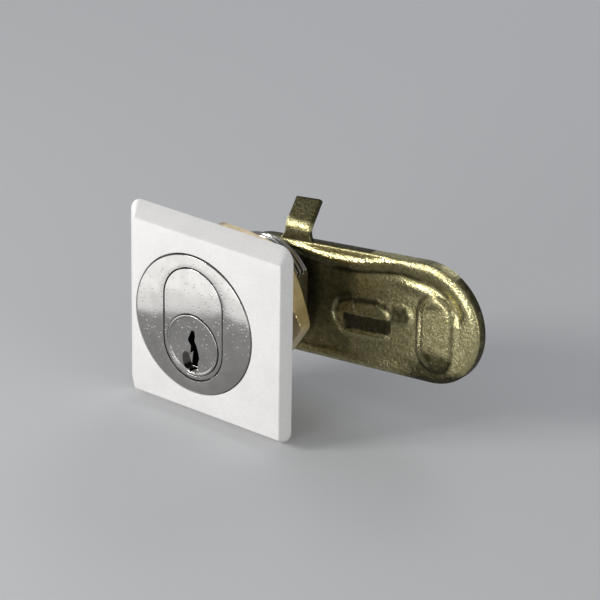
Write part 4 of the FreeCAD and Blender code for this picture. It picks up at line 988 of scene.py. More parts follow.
@dataclass
class LockHousing:
    """The plated housing: front disc, helical thread on a flat-sided barrel, oval bore and rear wall."""

    disc_radius: float = 19.6
    disc_front: float = FRONT
    disc_back: float = -2.0
    disc_edge: float = 0.35
    back_edge: float = 0.2
    oval_half: float = 10.2
    bore_half: float = 8.32
    oval_rise: float = 6.0
    ledge: float = -2.08
    mouth: float = 0.14
    barrel_radius: float = 16.0
    barrel_flat: float = 13.0
    barrel_end: float = 27.0
    end_chamfer: float = 0.7
    wall_front: float = 22.6
    thread_pitch: float = 1.5
    thread_depth: float = 0.9
    thread_from: float = 1.2
    thread_to: float = 26.6
    thread_root: float = 1.08
    thread_flank: float = 1.3
    thread_fade: float = 0.8
    strips_per_turn: int = 12
    dense_span: Pair = (26.0, 40.0)
    direction_counts: tuple[int, int, int] = (7, 34, 26)
    spindle_radius: float = 5.5
    axis_z: float = PLUG_AXIS
    screw_side: float = SCREW_SIDE
    screw_rise: float = SCREW_RISE
    screw_seat: float = 2.4
    screw_hole: float = 1.35
    screw_depth: float = 1.6
    stop_circle: float = 8.4
    stop_radius: float = 1.0
    stop_depth: float = 2.2
    stop_angles: Pair = (-19.82, 109.82)
    seal_middle: float = 18.0
    seal_half: float = 0.55
    seal_depth: float = 1.05
    # Where the thread roots get painted shade.
    root_shade_below: float = 0.25
    root_shade_over: float = 0.45
    root_shade_inner: float = 14.0
    root_shade_margin: float = 0.02

    def angles(self) -> np.ndarray:
        """Directions round the barrel, close together where the thread meets each flat."""
        stops = np.radians([0.0, *self.dense_span, 90.0])
        quarter = np.concatenate([np.linspace(start, end, count, endpoint=False)
                                  for start, end, count in zip(stops[:-1], stops[1:], self.direction_counts)])
        half = np.concatenate([quarter, stops[-1:], np.pi - quarter[:0:-1]])
        return np.concatenate([half, half + np.pi])

    def ring(self, radius: float, y: float) -> np.ndarray:
        """A circle through the barrel's directions."""
        return polar(self.angles(), radius, y)

    def oval(self, half: float, y: float) -> np.ndarray:
        """An upright oval through the barrel's directions."""
        angle = self.angles()
        return polar(angle, oval_radius(angle, half, self.oval_rise), y)

    def barrel(self) -> np.ndarray:
        """The threaded barrel.

        The radius falls by the thread's depth in a V whose phase grows by one for each pitch along the barrel
        and shrinks by one for each turn round it. The thread fades at both ends, the rear end is chamfered,
        and the sides are cut at the flats.

        Returns:
            The rows from the disc's back to the rear face.
        """
        angle = self.angles()[None, :]
        start, end = self.thread_from, self.thread_to
        count = round((end - start) / self.thread_pitch * self.strips_per_turn)
        depth = np.concatenate([[self.disc_back], np.linspace(start, end, count), [self.barrel_end]])[:, None]
        phase = (depth / self.thread_pitch - angle / (2 * np.pi)) % 1.0
        groove = np.clip(self.thread_root - np.abs(2 * phase - 1) * self.thread_flank, 0, 1)
        fade = rising(depth, start, self.thread_fade) * falling(depth, end, self.thread_fade)
        radius = self.barrel_radius - self.thread_depth * groove * fade
        radius = np.minimum(radius, self.barrel_radius - self.end_chamfer + (self.barrel_end - depth))
        x = np.clip(radius * np.cos(angle), -self.barrel_flat, self.barrel_flat)
        return np.stack([x, depth + 0 * angle, radius * np.sin(angle)], axis=-1)

    def build(self) -> Piece:
        """Join the outside, the rear wall with its holes, and the oval bore.

        Returns:
            The housing.
        """
        front, back, disc, half = self.disc_front, self.disc_back, self.disc_radius, self.oval_half
        mouth, edge, soft = self.mouth, self.disc_edge, self.back_edge
        outer, inner = self.seal_middle + self.seal_half, self.seal_middle - self.seal_half
        root = back - self.seal_depth
        seal = ((outer, back), (outer, root), (inner, root), (inner, back))
        outside = np.concatenate([
            blend_loops(self.oval(half, front + mouth), self.oval(half, front),
                        self.oval(half + mouth, front), 3),
            blend_loops(self.ring(disc - edge, front), self.ring(disc, front), self.ring(disc, front + edge)),
            blend_loops(self.ring(disc, back - soft), self.ring(disc, back), self.ring(disc - soft, back), 2),
            np.stack([self.ring(radius, y) for radius, y in seal]),
            self.barrel(),
        ])
        bore_steps = ((self.bore_half, self.wall_front), (self.bore_half, self.ledge), (half, self.ledge),
                      (half, front + mouth))
        bore = np.stack([self.oval(width, y) for width, y in bore_steps])
        shell = Shell().grid(outside).grid(bore)
        rear, wall = [outside[-1]], [bore[0]]
        rear.append(circle(self.spindle_radius, self.barrel_end, 0, self.axis_z))
        wall.append(circle(self.spindle_radius, self.wall_front, 0, self.axis_z))
        shell.grid(np.stack([rear[-1], wall[-1]]))
        seat = self.barrel_end - self.screw_depth
        screw_steps = ((self.screw_seat, self.barrel_end), (self.screw_seat, seat), (self.screw_hole, seat),
                       (self.screw_hole, self.wall_front))
        for side in (-self.screw_side, self.screw_side):
            loops = np.stack([circle(radius, y, side, self.screw_rise, 32) for radius, y in screw_steps])
            shell.grid(loops)
            rear.append(loops[0])
            wall.append(loops[-1])
        for angle in np.radians(self.stop_angles):
            x, z = self.stop_circle * math.cos(angle), self.axis_z + self.stop_circle * math.sin(angle)
            loops = np.stack([circle(self.stop_radius, self.barrel_end - depth, x, z, 24)
                              for depth in (0.0, self.stop_depth)])
            shell.grid(loops).flat(loops[1])
            rear.append(loops[0])
        shell.flat(*rear).flat(*wall)
        piece = shell.build("plated_housing", 32.0)
        self.paint_recess_shade(piece)
        return piece

    def paint_recess_shade(self, piece: Piece) -> None:
        """Mark the roots of the thread for painted shade.

        Args:
            piece: the finished housing.
        """
        x, y, z = places(piece)
        radius = np.hypot(x, z)
        root = falling(radius, self.barrel_radius - self.root_shade_below, self.root_shade_over)
        threaded = (radius > self.root_shade_inner) * (y > self.thread_from) * (y < self.thread_to)
        mark(piece, RECESS_SHADE, root * threaded * (np.abs(x) < self.barrel_flat - self.root_shade_margin))


@dataclass
class PinCylinder:
    """The oval cylinder: soft-edged head, stepped body, plug bore, pin chambers and screw holes."""

    half: float = 9.92
    body_half: float = 8.2
    rise: float = 6.0
    front: float = FRONT
    step: float = -2.2
    back: float = 20.0
    edge: float = 0.3
    axis_z: float = PLUG_AXIS
    head_seat: float = 8.82
    head_floor: float = -3.75
    bore: float = 6.85
    mouth: float = 0.14
    chamber: float = PIN_HOLE
    cover_foot: float = 11.6
    cover_half: float = 2.05
    cover_from: float = -1.6
    cover_to: float = 18.4
    drill_side: float = 5.0
    drill_place: float = -0.6
    drill_radius: float = 0.82
    drill_foot: float = 2.0
    screw_side: float = SCREW_SIDE
    screw_rise: float = SCREW_RISE
    screw_radius: float = 1.25
    screw_depth: float = 6.0
    overlap: float = 0.3
    points: int = 176
    bore_points: int = 96

    def oval(self, half: float, y: float) -> np.ndarray:
        """An upright oval of the given half width."""
        angle = full_turn(self.points)
        return polar(angle, oval_radius(angle, half, self.rise), y)

    def build(self) -> Piece:
        """Join the outside, the stepped plug bore and the two flat ends, then carve the chambers.

        Returns:
            The cylinder.
        """
        half, body, edge, front, back = self.half, self.body_half, self.edge, self.front, self.back
        outside = np.concatenate([
            blend_loops(self.oval(half - edge, front), self.oval(half, front),
                        self.oval(half, front + edge), 5),
            np.stack([self.oval(half, self.step), self.oval(body, self.step)]),
            blend_loops(self.oval(body, back - edge), self.oval(body, back), self.oval(body - edge, back), 2),
        ])
        seat, floor = self.head_seat, self.head_floor
        path = soft_path([(seat + 2 * self.mouth, front), (seat, front), (seat, floor), (self.bore, floor),
                          (self.bore, back)], self.mouth)
        bore = turned(path, 0, self.axis_z, self.bore_points)
        shell = Shell().grid(outside).grid(bore).flat(outside[0], bore[0])
        rear = [outside[-1], bore[-1]]
        for side in (-self.screw_side, self.screw_side):
            loops = np.stack([circle(self.screw_radius, back - depth, side, self.screw_rise, 28)
                              for depth in (0.0, self.screw_depth)])
            shell.grid(loops).flat(loops[1])
            rear.append(loops[0])
        shell.flat(*rear)
        piece = shell.build("oval_cylinder", 30.0)
        top, wide, foot = half + self.rise + 1, self.cover_half, self.cover_foot
        slot = np.array([(-wide, foot), (wide, foot), (wide, top), (-wide, top)])
        cutters = [prism(slot, self.cover_from, self.cover_to)]
        cutters += [post(self.chamber, self.axis_z, foot + self.overlap, y) for y in PIN_PLACES]
        cutters += [post(self.drill_radius, self.drill_foot, top, self.drill_place, side)
                    for side in (-self.drill_side, self.drill_side)]
        return carve(piece, *cutters, crease=30.0)


@dataclass
class Plug:
    """The plug: raised rim, swaying keyway with a shallow side groove, pin holes, clip groove and slot."""

    axis_z: float = PLUG_AXIS
    front: float = FRONT
    head_radius: float = 8.62
    head_back: float = -3.8
    radius: float = 6.8
    back: float = 21.6
    rim_width: float = 0.7
    rim_height: float = 0.25
    edge: float = 0.16
    groove_radius: float = 5.6
    groove_from: float = 20.0
    groove_to: float = 20.92
    key_depth: float = 23.4
    mouth: float = 0.10
    lobe_depth: float = 1.5
    pin_hole: float = PIN_HOLE
    pin_floor: float = -4.55
    slot_half: float = 1.3
    slot_reach: float = 9.0
    slot_from: float = 19.0
    end_share: float = 0.6
    rim_lean: float = 0.1
    points: int = 96
    # Where the keyway walls get painted shade; the face and its rim stay unshaded.
    unshaded_edge: float = 0.15
    unshaded_depth: float = 0.12
    keyway_shade_half: float = 3.0

    def keyway(self) -> np.ndarray:
        """The deep part of the keyway about the plug axis: a slot that leans left, then sways right."""
        return np.array([(-0.55, 4.3), (-1.0, 3.2), (-1.75, 1.5), (-1.65, 0.8), (-0.75, -0.2), (-0.85, -1.6),
                         (-1.15, -3.2), (-1.5, -6.6), (-1.2, -8.0), (1.3, -8.0), (2.0, -6.6), (1.9, -4.6),
                         (2.4, -3.3), (2.0, -1.6), (1.4, 0.2), (0.7, 1.5), (0.9, 2.9), (0.7, 4.1),
                         (0.3, 4.45)])

    def lobe(self) -> np.ndarray:
        """The shallow side groove at the lower left of the keyway."""
        return np.array([(-2.2, -2.2), (-3.1, -2.5), (-3.6, -3.4), (-3.65, -5.0), (-3.2, -6.6), (-2.6, -7.4),
                         (-1.3, -7.7), (-1.0, -4.0), (-1.0, -2.6)])

    def build(self) -> Piece:
        """Turn the outside, then carve keyway, side groove, pin holes and slot.

        Returns:
            The plug.
        """
        head, radius, groove = self.head_radius, self.radius, self.groove_radius
        inner, rim = head - self.rim_width, self.front - self.rim_height
        path = soft_path([
            (inner * self.end_share, self.front), (inner, self.front), (inner + self.rim_lean, rim),
            (head, rim), (head, self.head_back), (radius, self.head_back), (radius, self.groove_from),
            (groove, self.groove_from), (groove, self.groove_to), (radius, self.groove_to),
            (radius, self.back), (radius * self.end_share, self.back)], self.edge)
        piece = capped(turned(path, 0, self.axis_z, self.points), "lock_plug", 30.0)
        drop = np.array((0, self.axis_z))
        wide, reach = self.slot_half, self.slot_reach
        slot = np.array([(-wide, -reach), (wide, -reach), (wide, reach), (-wide, reach)])
        cutters = [prism(outline[::-1] + drop, self.front - self.mouth, self.front + depth, self.mouth)
                   for outline, depth in ((self.keyway(), self.key_depth), (self.lobe(), self.lobe_depth))]
        cutters.append(prism(slot + drop, self.slot_from, self.back + 1))
        cutters += [post(self.pin_hole, self.pin_floor, self.axis_z + radius + 1, y) for y in PIN_PLACES]
        carve(piece, *cutters, crease=30.0)
        self.paint_recess_shade(piece)
        return piece

    def paint_recess_shade(self, piece: Piece) -> None:
        """Mark the walls of the keyway for painted shade, and leave the face unshaded.

        Args:
            piece: the finished plug.
        """
        count = len(piece.data.polygons)
        middle, way = np.empty(count * 3), np.empty(count * 3)
        piece.data.polygons.foreach_get("center", middle)
        piece.data.polygons.foreach_get("normal", way)
        x, y, z = middle.reshape(-1, 3).T / MM
        within = np.hypot(x, z - self.axis_z) < self.head_radius - self.unshaded_edge
        sunk = (np.abs(x) < self.keyway_shade_half) & (y > self.front + self.unshaded_depth)
        faces_front = way[1::3] <= -0.5
        mark(piece, RECESS_SHADE, within & sunk & ~faces_front, "FACE")


@dataclass
class PinSpring:
    """One coil spring over a driver pin."""

    number: int
    lift: float
    wire: float = 0.34
    radius: float = 0.92
    turns: int = 7
    foot: float = 4.947
    top: float = 11.578
    steps: int = 28
    sides: int = 10

    @property
    def place(self) -> float:
        """How far behind the panel plane the spring's axis stands."""
        return float(PIN_PLACES[self.number - 1])

    def build(self) -> Piece:
        """Carry the wire's round section along the helix.

        Returns:
            The spring.
        """
        half = self.wire / 2
        share = np.linspace(0, 1, self.turns * self.steps + 1)
        turn = 2 * np.pi * self.turns * share
        rise = self.top - self.foot - self.wire
        out = np.stack([np.cos(turn), np.sin(turn), 0 * turn], axis=-1)
        centre = self.radius * out + np.array((0, self.place, self.foot + half))
        centre[:, 2] += rise * share
        slope = rise / (2 * np.pi * self.turns * self.radius)
        ahead = np.stack([-np.sin(turn), np.cos(turn), 0 * turn + slope], axis=-1)
        ahead /= np.linalg.norm(ahead, axis=1)[:, None]
        across = np.cross(ahead, out)
        around = full_turn(self.sides)[None, :, None]
        section = np.cos(around) * out[:, None, :] + np.sin(around) * across[:, None, :]
        return capped(centre[:, None, :] + half * section, f"coil_spring_{self.number}", 50.0)

    def follow(self, piece: Piece) -> None:
        """Give the finished spring its own copy of its mesh."""
        self.place * MM
        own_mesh(piece)


@dataclass
class HexNut:
    """The thin brass nut: six flats trimmed by a cone at both faces, with chamfered bore mouths."""

    across: float = 38.0
    front: float = 12.6
    back: float = 18.6
    corner_angle: float = -5.0
    bore: float = 16.05
    mouth: float = 0.5
    trim: float = 0.5
    slope: float = 2.7
    corner_round: float = 0.35
    corner_from: float = 1.1
    corner_over: float = 0.055
    trim_levels: int = 12
    trim_power: float = 1.5
    trim_share: float = 0.5
    points_per_side: int = 30

    def build(self) -> Piece:
        """Work out the outside as the smaller of hexagon and cone at each level.

        Returns:
            The nut.
        """
        angle = full_turn(6 * self.points_per_side)
        offset = np.radians(self.corner_angle)
        within = (angle - offset) % (np.pi / 3) - np.pi / 6
        flat = self.across / 2
        hexagon = flat / np.cos(within)
        corner = rising(hexagon, flat * self.corner_from, flat * self.corner_over)
        hexagon = hexagon - self.corner_round * corner ** 2
        half = (self.back - self.front) / 2
        levels = np.linspace(0, 1, self.trim_levels) ** self.trim_power
        near = np.concatenate([levels * half * self.trim_share, [half]])
        depth = np.concatenate([near, 2 * half - near[-2::-1]])
        cone = flat - self.trim + self.slope * np.minimum(depth, 2 * half - depth)
        radius = np.minimum(hexagon[None, :], cone[:, None])
        level = self.front + depth[:, None] + 0 * angle
        rows = np.stack([radius * np.cos(angle), level, radius * np.sin(angle)], axis=-1)
        bore, wide = self.bore, self.bore + self.mouth
        near_mouth = turned(np.array([(bore, self.front + self.mouth), (wide, self.front)]), 0, 0, len(angle))
        far_mouth = turned(np.array([(wide, self.back), (bore, self.back - self.mouth)]), 0, 0, len(angle))
        closed = np.concatenate([near_mouth, rows, far_mouth, near_mouth[:1]])
        return Shell().grid(closed).build("brass_nut", 24.0)


@dataclass(frozen=True)
class RimPlace:
    """Where points of the cam lie against its rim, each field an array over the points.

    inside is the distance inside the rim's crest, negative outside it, and foot is the nearest outline
    point's x. upper is 1 along the upper edge and round the head and 0 along the lower edge, sunk is 1 where
    the valley runs, and reach is the distance from the crest to the valley's floor.
    """

    inside: np.ndarray
    foot: np.ndarray
    upper: np.ndarray
    sunk: np.ndarray
    reach: np.ndarray


@dataclass
class PressedCam:
    """The pressed cam: pan with a raised rim, turned edge, pressed forms, square hole and bent tab.

    A pair whose name ends in run says where a change begins and over what stretch it goes on.
    """

    hub: Pair = (0.0, -2.2)
    hub_radius: float = 16.2
    head: Pair = (51.0, 3.2)
    head_radius: float = 17.0
    pan: float = 29.55
    sheet: float = 1.6
    rear: float = 32.35
    crest: float = 28.6
    crest_inset: float = 1.8
    crest_soft: float = 0.55
    crest_slope: float = 0.52
    crest_reach: float = 1.45
    outer_fall: float = 0.2
    edge_round: float = 0.55
    edge_turn: float = 0.999
    neck_inset: float = 1.55
    neck_run: Pair = (6.0, 13.0)
    neck_end_run: Pair = (40.0, 13.0)
    shoulder_dip: float = 0.4
    dip_place: Pair = (42.5, 4.0)
    low_crest: float = 0.3
    upper_run: Pair = (-0.55, 0.5)
    sunk_run: Pair = (0.15, 0.45)
    valley_reach: Pair = (2.5, 4.2)
    valley_reach_run: Pair = (28.0, 34.0)
    valley_depth: Pair = (0.05, -0.3)
    valley_depth_run: Pair = (38.0, 12.0)
    late_fall: float = 0.6
    late_power: float = 2.4
    low_reach: float = 2.8
    plateau: float = 0.40
    plateau_slope: float = 2.2
    shoulder_mix: Pair = (0.7, 0.3)
    brow: float = 0.32
    brow_place: Pair = (0.3, 1.4)
    brow_run: Pair = (38.0, 8.0)
    end_rise: float = 0.3
    end_run: Pair = (55.0, 5.0)
    step_place: float = 26.2
    step_over: Pair = (2.0, 4.0)
    step_fade_run: Pair = (3.0, 6.0)
    pan_inset: float = 3.9
    arc_points: int = 900
    tangent_points: int = 1200
    columns: int = 250
    rows: int = 86
    outer_shares: tuple[float, ...] = (0.0, 0.04, 0.1, 0.18, 0.28, 0.38, 0.48, 0.58, 0.68, 0.78, 0.88, 0.95)
    fall_rows: int = 22
    back_rows: int = 12
    back_edge: float = 0.15
    back_corner: Pair = (0.04, 0.05)
    square: float = 8.1
    axis_z: float = PLUG_AXIS
    boss: Pair = (54.0, 0.9)
    boss_size: Pair = (12.2, 22.6)
    boss_slope: Pair = (0.445, 0.9)
    boss_slope_over: float = 4.0
    boss_height: float = 1.02
    boss_turn: float = 1.0
    rib: Pair = (30.4, -1.35)
    rib_size: Pair = (22.5, 13.3)
    rib_tilt: float = 8.0
    rib_height: float = 0.85
    rib_slope: float = 2.3
    rib_end: float = 39.9
    rib_cut: float = 0.9
    rib_fall: Pair = (-0.1, -5.1)
    rib_drop: float = 0.8
    rib_lip: float = 0.28
    rib_lip_place: Pair = (-1.0, 0.8)
    nib: Pair = (41.3, 3.1)
    nib_size: Pair = (12.0, 6.8)
    nib_height: float = 0.5
    nib_slope: float = 2.0
    tab_foot: float = 12.6
    tab_bend_start: float = 17.0
    tab_bend: float = 4.0
    tab_lean: float = 38.0
    tab_top: float = 25.6
    tab_middle: Pair = (7.4, 6.7)
    tab_half: Pair = (4.3, 4.0)
    tab_flare: float = 1.7
    tab_flare_run: Pair = (14.2, 3.2)
    tab_slant: float = 0.14
    tab_tip: float = 0.9
    tab_soft: float = 0.45
    tab_rows: tuple[int, int, int] = (12, 14, 10)
    tab_corner: int = 5
    tip_steps: tuple[Pair, Pair] = ((0.97, 0.2), (0.92, 0.32))

    def tangents(self) -> tuple[np.ndarray, np.ndarray, float, float]:
        """Both end circles' middles, the direction from hub to head, and the angle to each touching point."""
        hub, head = np.array(self.hub), np.array(self.head)
        span = head - hub
        lean = math.acos((self.hub_radius - self.head_radius) / math.hypot(*span))
        return hub, head, math.atan2(span[1], span[0]), lean

    def runs(self) -> list[tuple[np.ndarray, np.ndarray]]:
        """Sample the outline from the hub's far left to the head's far right, above and below.

        Each run is a hub arc, a straight common tangent of both circles and a head arc, sampled finely along
        its length, with the outward normal of each point.

        Returns:
            The run above and the run below, each as points and normals of shape (points, 2) in x and z.
        """
        hub, head, slope, lean = self.tangents()
        runs = []
        for side in (1, -1):
            touch = slope + side * lean
            way = np.array((math.cos(touch), math.sin(touch)))
            first, last = hub + way * self.hub_radius, head + way * self.head_radius
            share = np.linspace(0, 1, self.tangent_points)[1:-1, None]
            arcs = []
            for centre, radius, start, end in ((hub, self.hub_radius, side * np.pi, touch),
                                               (head, self.head_radius, touch, 0.0)):
                angle = np.linspace(start, end, self.arc_points)
                normal = np.stack([np.cos(angle), np.sin(angle)], axis=-1)
                arcs.append((centre + radius * normal, normal))
            line = (first + (last - first) * share, np.repeat(way[None], len(share), axis=0))
            parts = (arcs[0], line, arcs[1])
            runs.append(tuple(np.concatenate([part[index] for part in parts]) for index in (0, 1)))
        return runs

    def aside(self, x: np.ndarray, z: np.ndarray) -> tuple[np.ndarray, np.ndarray, np.ndarray]:
        """Find the nearest point of the outline from points inside it.

        Above and below the middle the nearest point lies on an end circle or, between the two touching
        points, on the straight tangent; the nearer side is taken.

        Args:
            x: points across.
            z: points up.

        Returns:
            The distance, the nearest point's x and the height component of its outward normal.
        """
        hub, head, slope, lean = self.tangents()
        best = None
        for side in (1, -1):
            way = np.array((math.cos(slope + side * lean), math.sin(slope + side * lean)))
            along = np.array((way[1], -way[0])) * side
            place = (x - hub[0]) * along[0] + (z - hub[1]) * along[1]
            length = float((head - hub) @ along)
            found = []
            for centre, radius in ((hub, self.hub_radius), (head, self.head_radius)):
                reach = np.maximum(np.hypot(x - centre[0], z - centre[1]), 1e-6)
                found.append((radius - reach, (x - centre[0]) / reach, (z - centre[1]) / reach))
            off = self.hub_radius - (x - hub[0]) * way[0] - (z - hub[1]) * way[1]
            line = (off, way[0] + 0 * x, way[1] + 0 * x)
            here = [np.where(place < 0, at_hub, np.where(place > length, at_head, between))
                    for at_hub, at_head, between in zip(*found, line)]
            if best is not None:
                here = [np.where(here[0] < best[0], new, old) for new, old in zip(here, best)]
            best = here
        return best[0], x + best[1] * best[0], best[2]

    def crest_at(self, x: np.ndarray, rise: np.ndarray) -> np.ndarray:
        """Distance of the rim's crest from the outline.

        Args:
            x: the outline point's x.
            rise: the height component of the outline's normal.

        Returns:
            The distance: wider along the neck's upper edge, a little less where the head begins.
        """
        neck = rising(x, *self.neck_run) * falling(x, *self.neck_end_run)
        dip = band(x, *self.dip_place)
        return self.crest_inset + (self.neck_inset * neck - self.shoulder_dip * dip) * smooth_step(rise * 2)

    def outer_drop(self, distance: np.ndarray, crest: np.ndarray) -> np.ndarray:
        """How far the rim outside its crest lies behind the crest.

        A soft slope falls away from the crest, a nearly level land follows where the crest lies far inside,
        and a small round joins the turned edge.

        Args:
            distance: distance from the outline.
            crest: the crest's distance from the outline.

        Returns:
            The drop at each point.
        """
        out = np.maximum(crest - distance, 0)
        side = np.minimum(out, self.crest_reach)
        soft = np.minimum(side, self.crest_soft)
        slope = self.crest_slope * (soft ** 2 / (2 * self.crest_soft) + side - soft)
        drop = slope + self.outer_fall * (out - side)
        turn = np.clip(1 - distance / self.edge_round, 0, 1)
        return drop + self.edge_round * (1 - np.sqrt(1 - turn ** 2 * self.edge_turn))

    def lower_share(self, rise: np.ndarray) -> np.ndarray:
        """How far the outline's normal points down: 1 along the lower edge and 0 above it."""
        return 1 - rising(rise, *self.upper_run)

    def locate(self, x: np.ndarray, z: np.ndarray) -> RimPlace:
        """Place points against the rim.

        Args:
            x: points across.
            z: points up.

        Returns:
            Their place.
        """
        distance, foot, rise = self.aside(x, z)
        near, far = self.valley_reach
        return RimPlace(
            inside=distance - self.crest_at(foot, rise), foot=foot, upper=rising(rise, *self.upper_run),
            sunk=rising(rise, *self.sunk_run),
            reach=near + (far - near) * rising(foot, *self.valley_reach_run))

    def rim(self, x: np.ndarray, z: np.ndarray) -> np.ndarray:
        """Height over the hub's pan of everything inside the crest, without the pressed forms.

        From the crest the land falls slowly, then faster, to a valley, and rises again by a shoulder with a
        low brow to the head's plateau; along the lower edge it falls straight to the pan.

        Args:
            x: points across.
            z: points up.

        Returns:
            The height at each point.
        """
        place = self.locate(x, z)
        upper, sunk = place.upper, place.sunk
        top = self.pan - self.crest - self.low_crest * (1 - upper)
        inside = np.maximum(place.inside, 0)
        reach = self.low_reach + (place.reach - self.low_reach) * upper
        least, more = self.step_over
        level = self.plateau * rising(x, self.step_place, least + more * falling(z, *self.step_fade_run))
        level = level + self.end_rise * rising(x, *self.end_run) * (1 - sunk)
        shallow, deep = self.valley_depth
        depth = shallow + (deep - shallow) * rising(place.foot, *self.valley_depth_run)
        valley = level + (np.minimum(depth, level) - level) * sunk
        share = np.clip(inside / reach, 0, 1)
        late = self.late_fall
        land = top + (valley - top) * (smooth_step(share) * (1 - late * upper)
                                       + share ** self.late_power * late * upper)
        step = np.clip((inside - reach) / self.plateau_slope, 0, 1)
        straight, smooth = self.shoulder_mix
        shoulder = valley + (level - valley) * (straight * step + smooth * smooth_step(step))
        swell = band(inside - reach - self.plateau_slope, *self.brow_place) * step
        shoulder = shoulder + self.brow * swell * sunk * rising(place.foot, *self.brow_run)
        return np.where(inside < reach, land, shoulder)

    def edges(self) -> tuple[np.ndarray, np.ndarray, np.ndarray, np.ndarray]:
        """Choose outline points above and below that share their x at the pan's edge.

        The points above are evenly spaced along the pan's edge; those below are found where the lower edge
        has the same x, so that the pan is a grid of upright columns.

        Returns:
            Points above, normals above, points below and normals below.
        """
        (above, above_way), (below, below_way) = self.runs()
        inner = above - above_way * self.pan_inset
        length = np.concatenate([[0], np.cumsum(np.hypot(*np.diff(inner, axis=0).T))])
        pick = np.linspace(0, length[-1], self.columns + 1)
        upper = np.stack([np.interp(pick, length, axis) for axis in (*above.T, *above_way.T)], axis=-1)
        place = upper[:, 0] - upper[:, 2] * self.pan_inset
        lower_place = below[:, 0] - below_way[:, 0] * self.pan_inset
        lower = np.stack([np.interp(place, lower_place, axis) for axis in (*below.T, *below_way.T)], axis=-1)
        return upper[:, :2], upper[:, 2:], lower[:, :2], lower[:, 2:]

    def oval_depth(self, x: np.ndarray, z: np.ndarray, place: Pair, size: Pair) -> np.ndarray:
        """How far each point lies inside an oval with round ends; negative outside.

        Args:
            x: points across.
            z: points up.
            place: the oval's middle.
            size: its width and height.

        Returns:
            The distance to the oval's edge at each point.
        """
        across, up = x - place[0], z - place[1]
        radius = min(size) / 2
        core_x, core_z = size[0] / 2 - radius, size[1] / 2 - radius
        return radius - np.hypot(across - np.clip(across, -core_x, core_x), up - np.clip(up, -core_z, core_z))

    def slanted(self, x: np.ndarray, z: np.ndarray, place: Pair) -> tuple[np.ndarray, np.ndarray]:
        """Turn points about a form's middle, back from the rib's tilt.

        Args:
            x: points across.
            z: points up.
            place: the form's middle.

        Returns:
            The points in the form's own upright frame.
        """
        tilt = math.radians(self.rib_tilt)
        across, up = x - place[0], z - place[1]
        return (place[0] + across * math.cos(tilt) + up * math.sin(tilt),
                place[1] - across * math.sin(tilt) + up * math.cos(tilt))

    def relief(self, x: np.ndarray, z: np.ndarray) -> np.ndarray:
        """Height of the rim and of all pressed forms over the hub's pan.

        The boss is a sloping wall, gentler on its left, that turns over to a level top; the rib has a level
        crest, a long fall below it and a small lip at its lower edge; the nib is a small pillow.

        Args:
            x: points across.
            z: points up.

        Returns:
            The height at each point.
        """
        inside = self.oval_depth(x, z, self.boss, self.boss_size)
        (left, right), top = self.boss_slope, self.boss_turn
        steep = right + (left - right) * falling(x, self.boss[0] + 1, self.boss_slope_over)
        flank = self.boss_height / steep - top / 2
        turn = np.clip(inside - flank, 0, top)
        boss = self.plateau + steep * (np.minimum(inside, flank) + turn - turn ** 2 / (2 * top))
        boss = np.where(inside > 0, boss, 0)
        start, end = self.rib_fall
        along, up = self.slanted(x, z, self.rib)
        fall = 1 - self.rib_drop * falling(up, start, start - end)
        lip = self.rib_lip * band(up - end, *self.rib_lip_place)
        shape = smooth_step(self.oval_depth(along, up, self.rib, self.rib_size) / self.rib_slope)
        rib = (self.rib_height * fall + lip) * shape * falling(x, self.rib_end, self.rib_cut)
        depth = self.oval_depth(*self.slanted(x, z, self.nib), self.nib, self.nib_size)
        nib = self.nib_height * smooth_step(depth / self.nib_slope)
        return np.maximum(self.rim(x, z) + np.maximum(rib, nib), boss)

    def tray(self) -> Shell:
        """The tray: turned edge and rim carried round the outline, and the pan front and back.

        Returns:
            The closed shell.
        """
        above, above_way, below, below_way = self.edges()
        outline = np.concatenate([above, below[-2:0:-1]])
        ways = np.concatenate([above_way, below_way[-2:0:-1]])
        crest = self.crest_at(outline[:, 0], ways[:, 1])[None, :]
        low = self.low_crest * self.lower_share(ways[:, 1])[None, :]
        top, rear, sheet, inset = self.crest, self.rear, self.sheet, self.pan_inset
        edge = self.back_edge
        outer = [(crest * share, top + low + self.outer_drop(crest * share, crest))
                 for share in self.outer_shares]
        outer.insert(0, (0.0, rear - 2 * edge))
        fall = [(crest + (inset - crest) * share, None) for share in np.linspace(0, 1, self.fall_rows)]
        rows = []
        for distance, y in outer + fall:
            distance = np.broadcast_to(distance, crest.shape)[0]
            x, z = (outline - ways * distance[:, None]).T
            y = self.pan - self.relief(x, z) if y is None else np.broadcast_to(y, crest.shape)[0]
            rows.append(np.stack([x, y, z], axis=-1))
        back = []
        for distance in np.linspace(inset, sheet, self.back_rows):
            x, z = (outline - ways * distance).T
            height = np.where(distance < crest[0], self.pan - top - low[0], self.relief(x, z))
            back.append(np.stack([x, self.pan + sheet - height, z], axis=-1))
        near, ahead = self.back_corner
        for distance, y in ((sheet, rear - edge), (sheet - edge, rear), (edge, rear), (near, rear - ahead)):
            x, z = (outline - ways * distance).T
            back.append(loop_at(x, z, y))
        shell = Shell().grid(np.stack(rows))
        shell.grid(np.stack(back + rows[:1]))
        upper, lower = above - above_way * inset, below - below_way * inset
        share = np.linspace(0, 1, self.rows + 1)[:, None]
        grid_x = upper[None, :, 0] + 0 * share
        grid_z = lower[None, :, 1] + (upper[:, 1] - lower[:, 1])[None, :] * share
        height = self.relief(grid_x, grid_z)
        for level in (self.pan, self.pan + sheet):
            shell.grid(np.stack([grid_x, level - height, grid_z], axis=-1), around=False)
        return shell

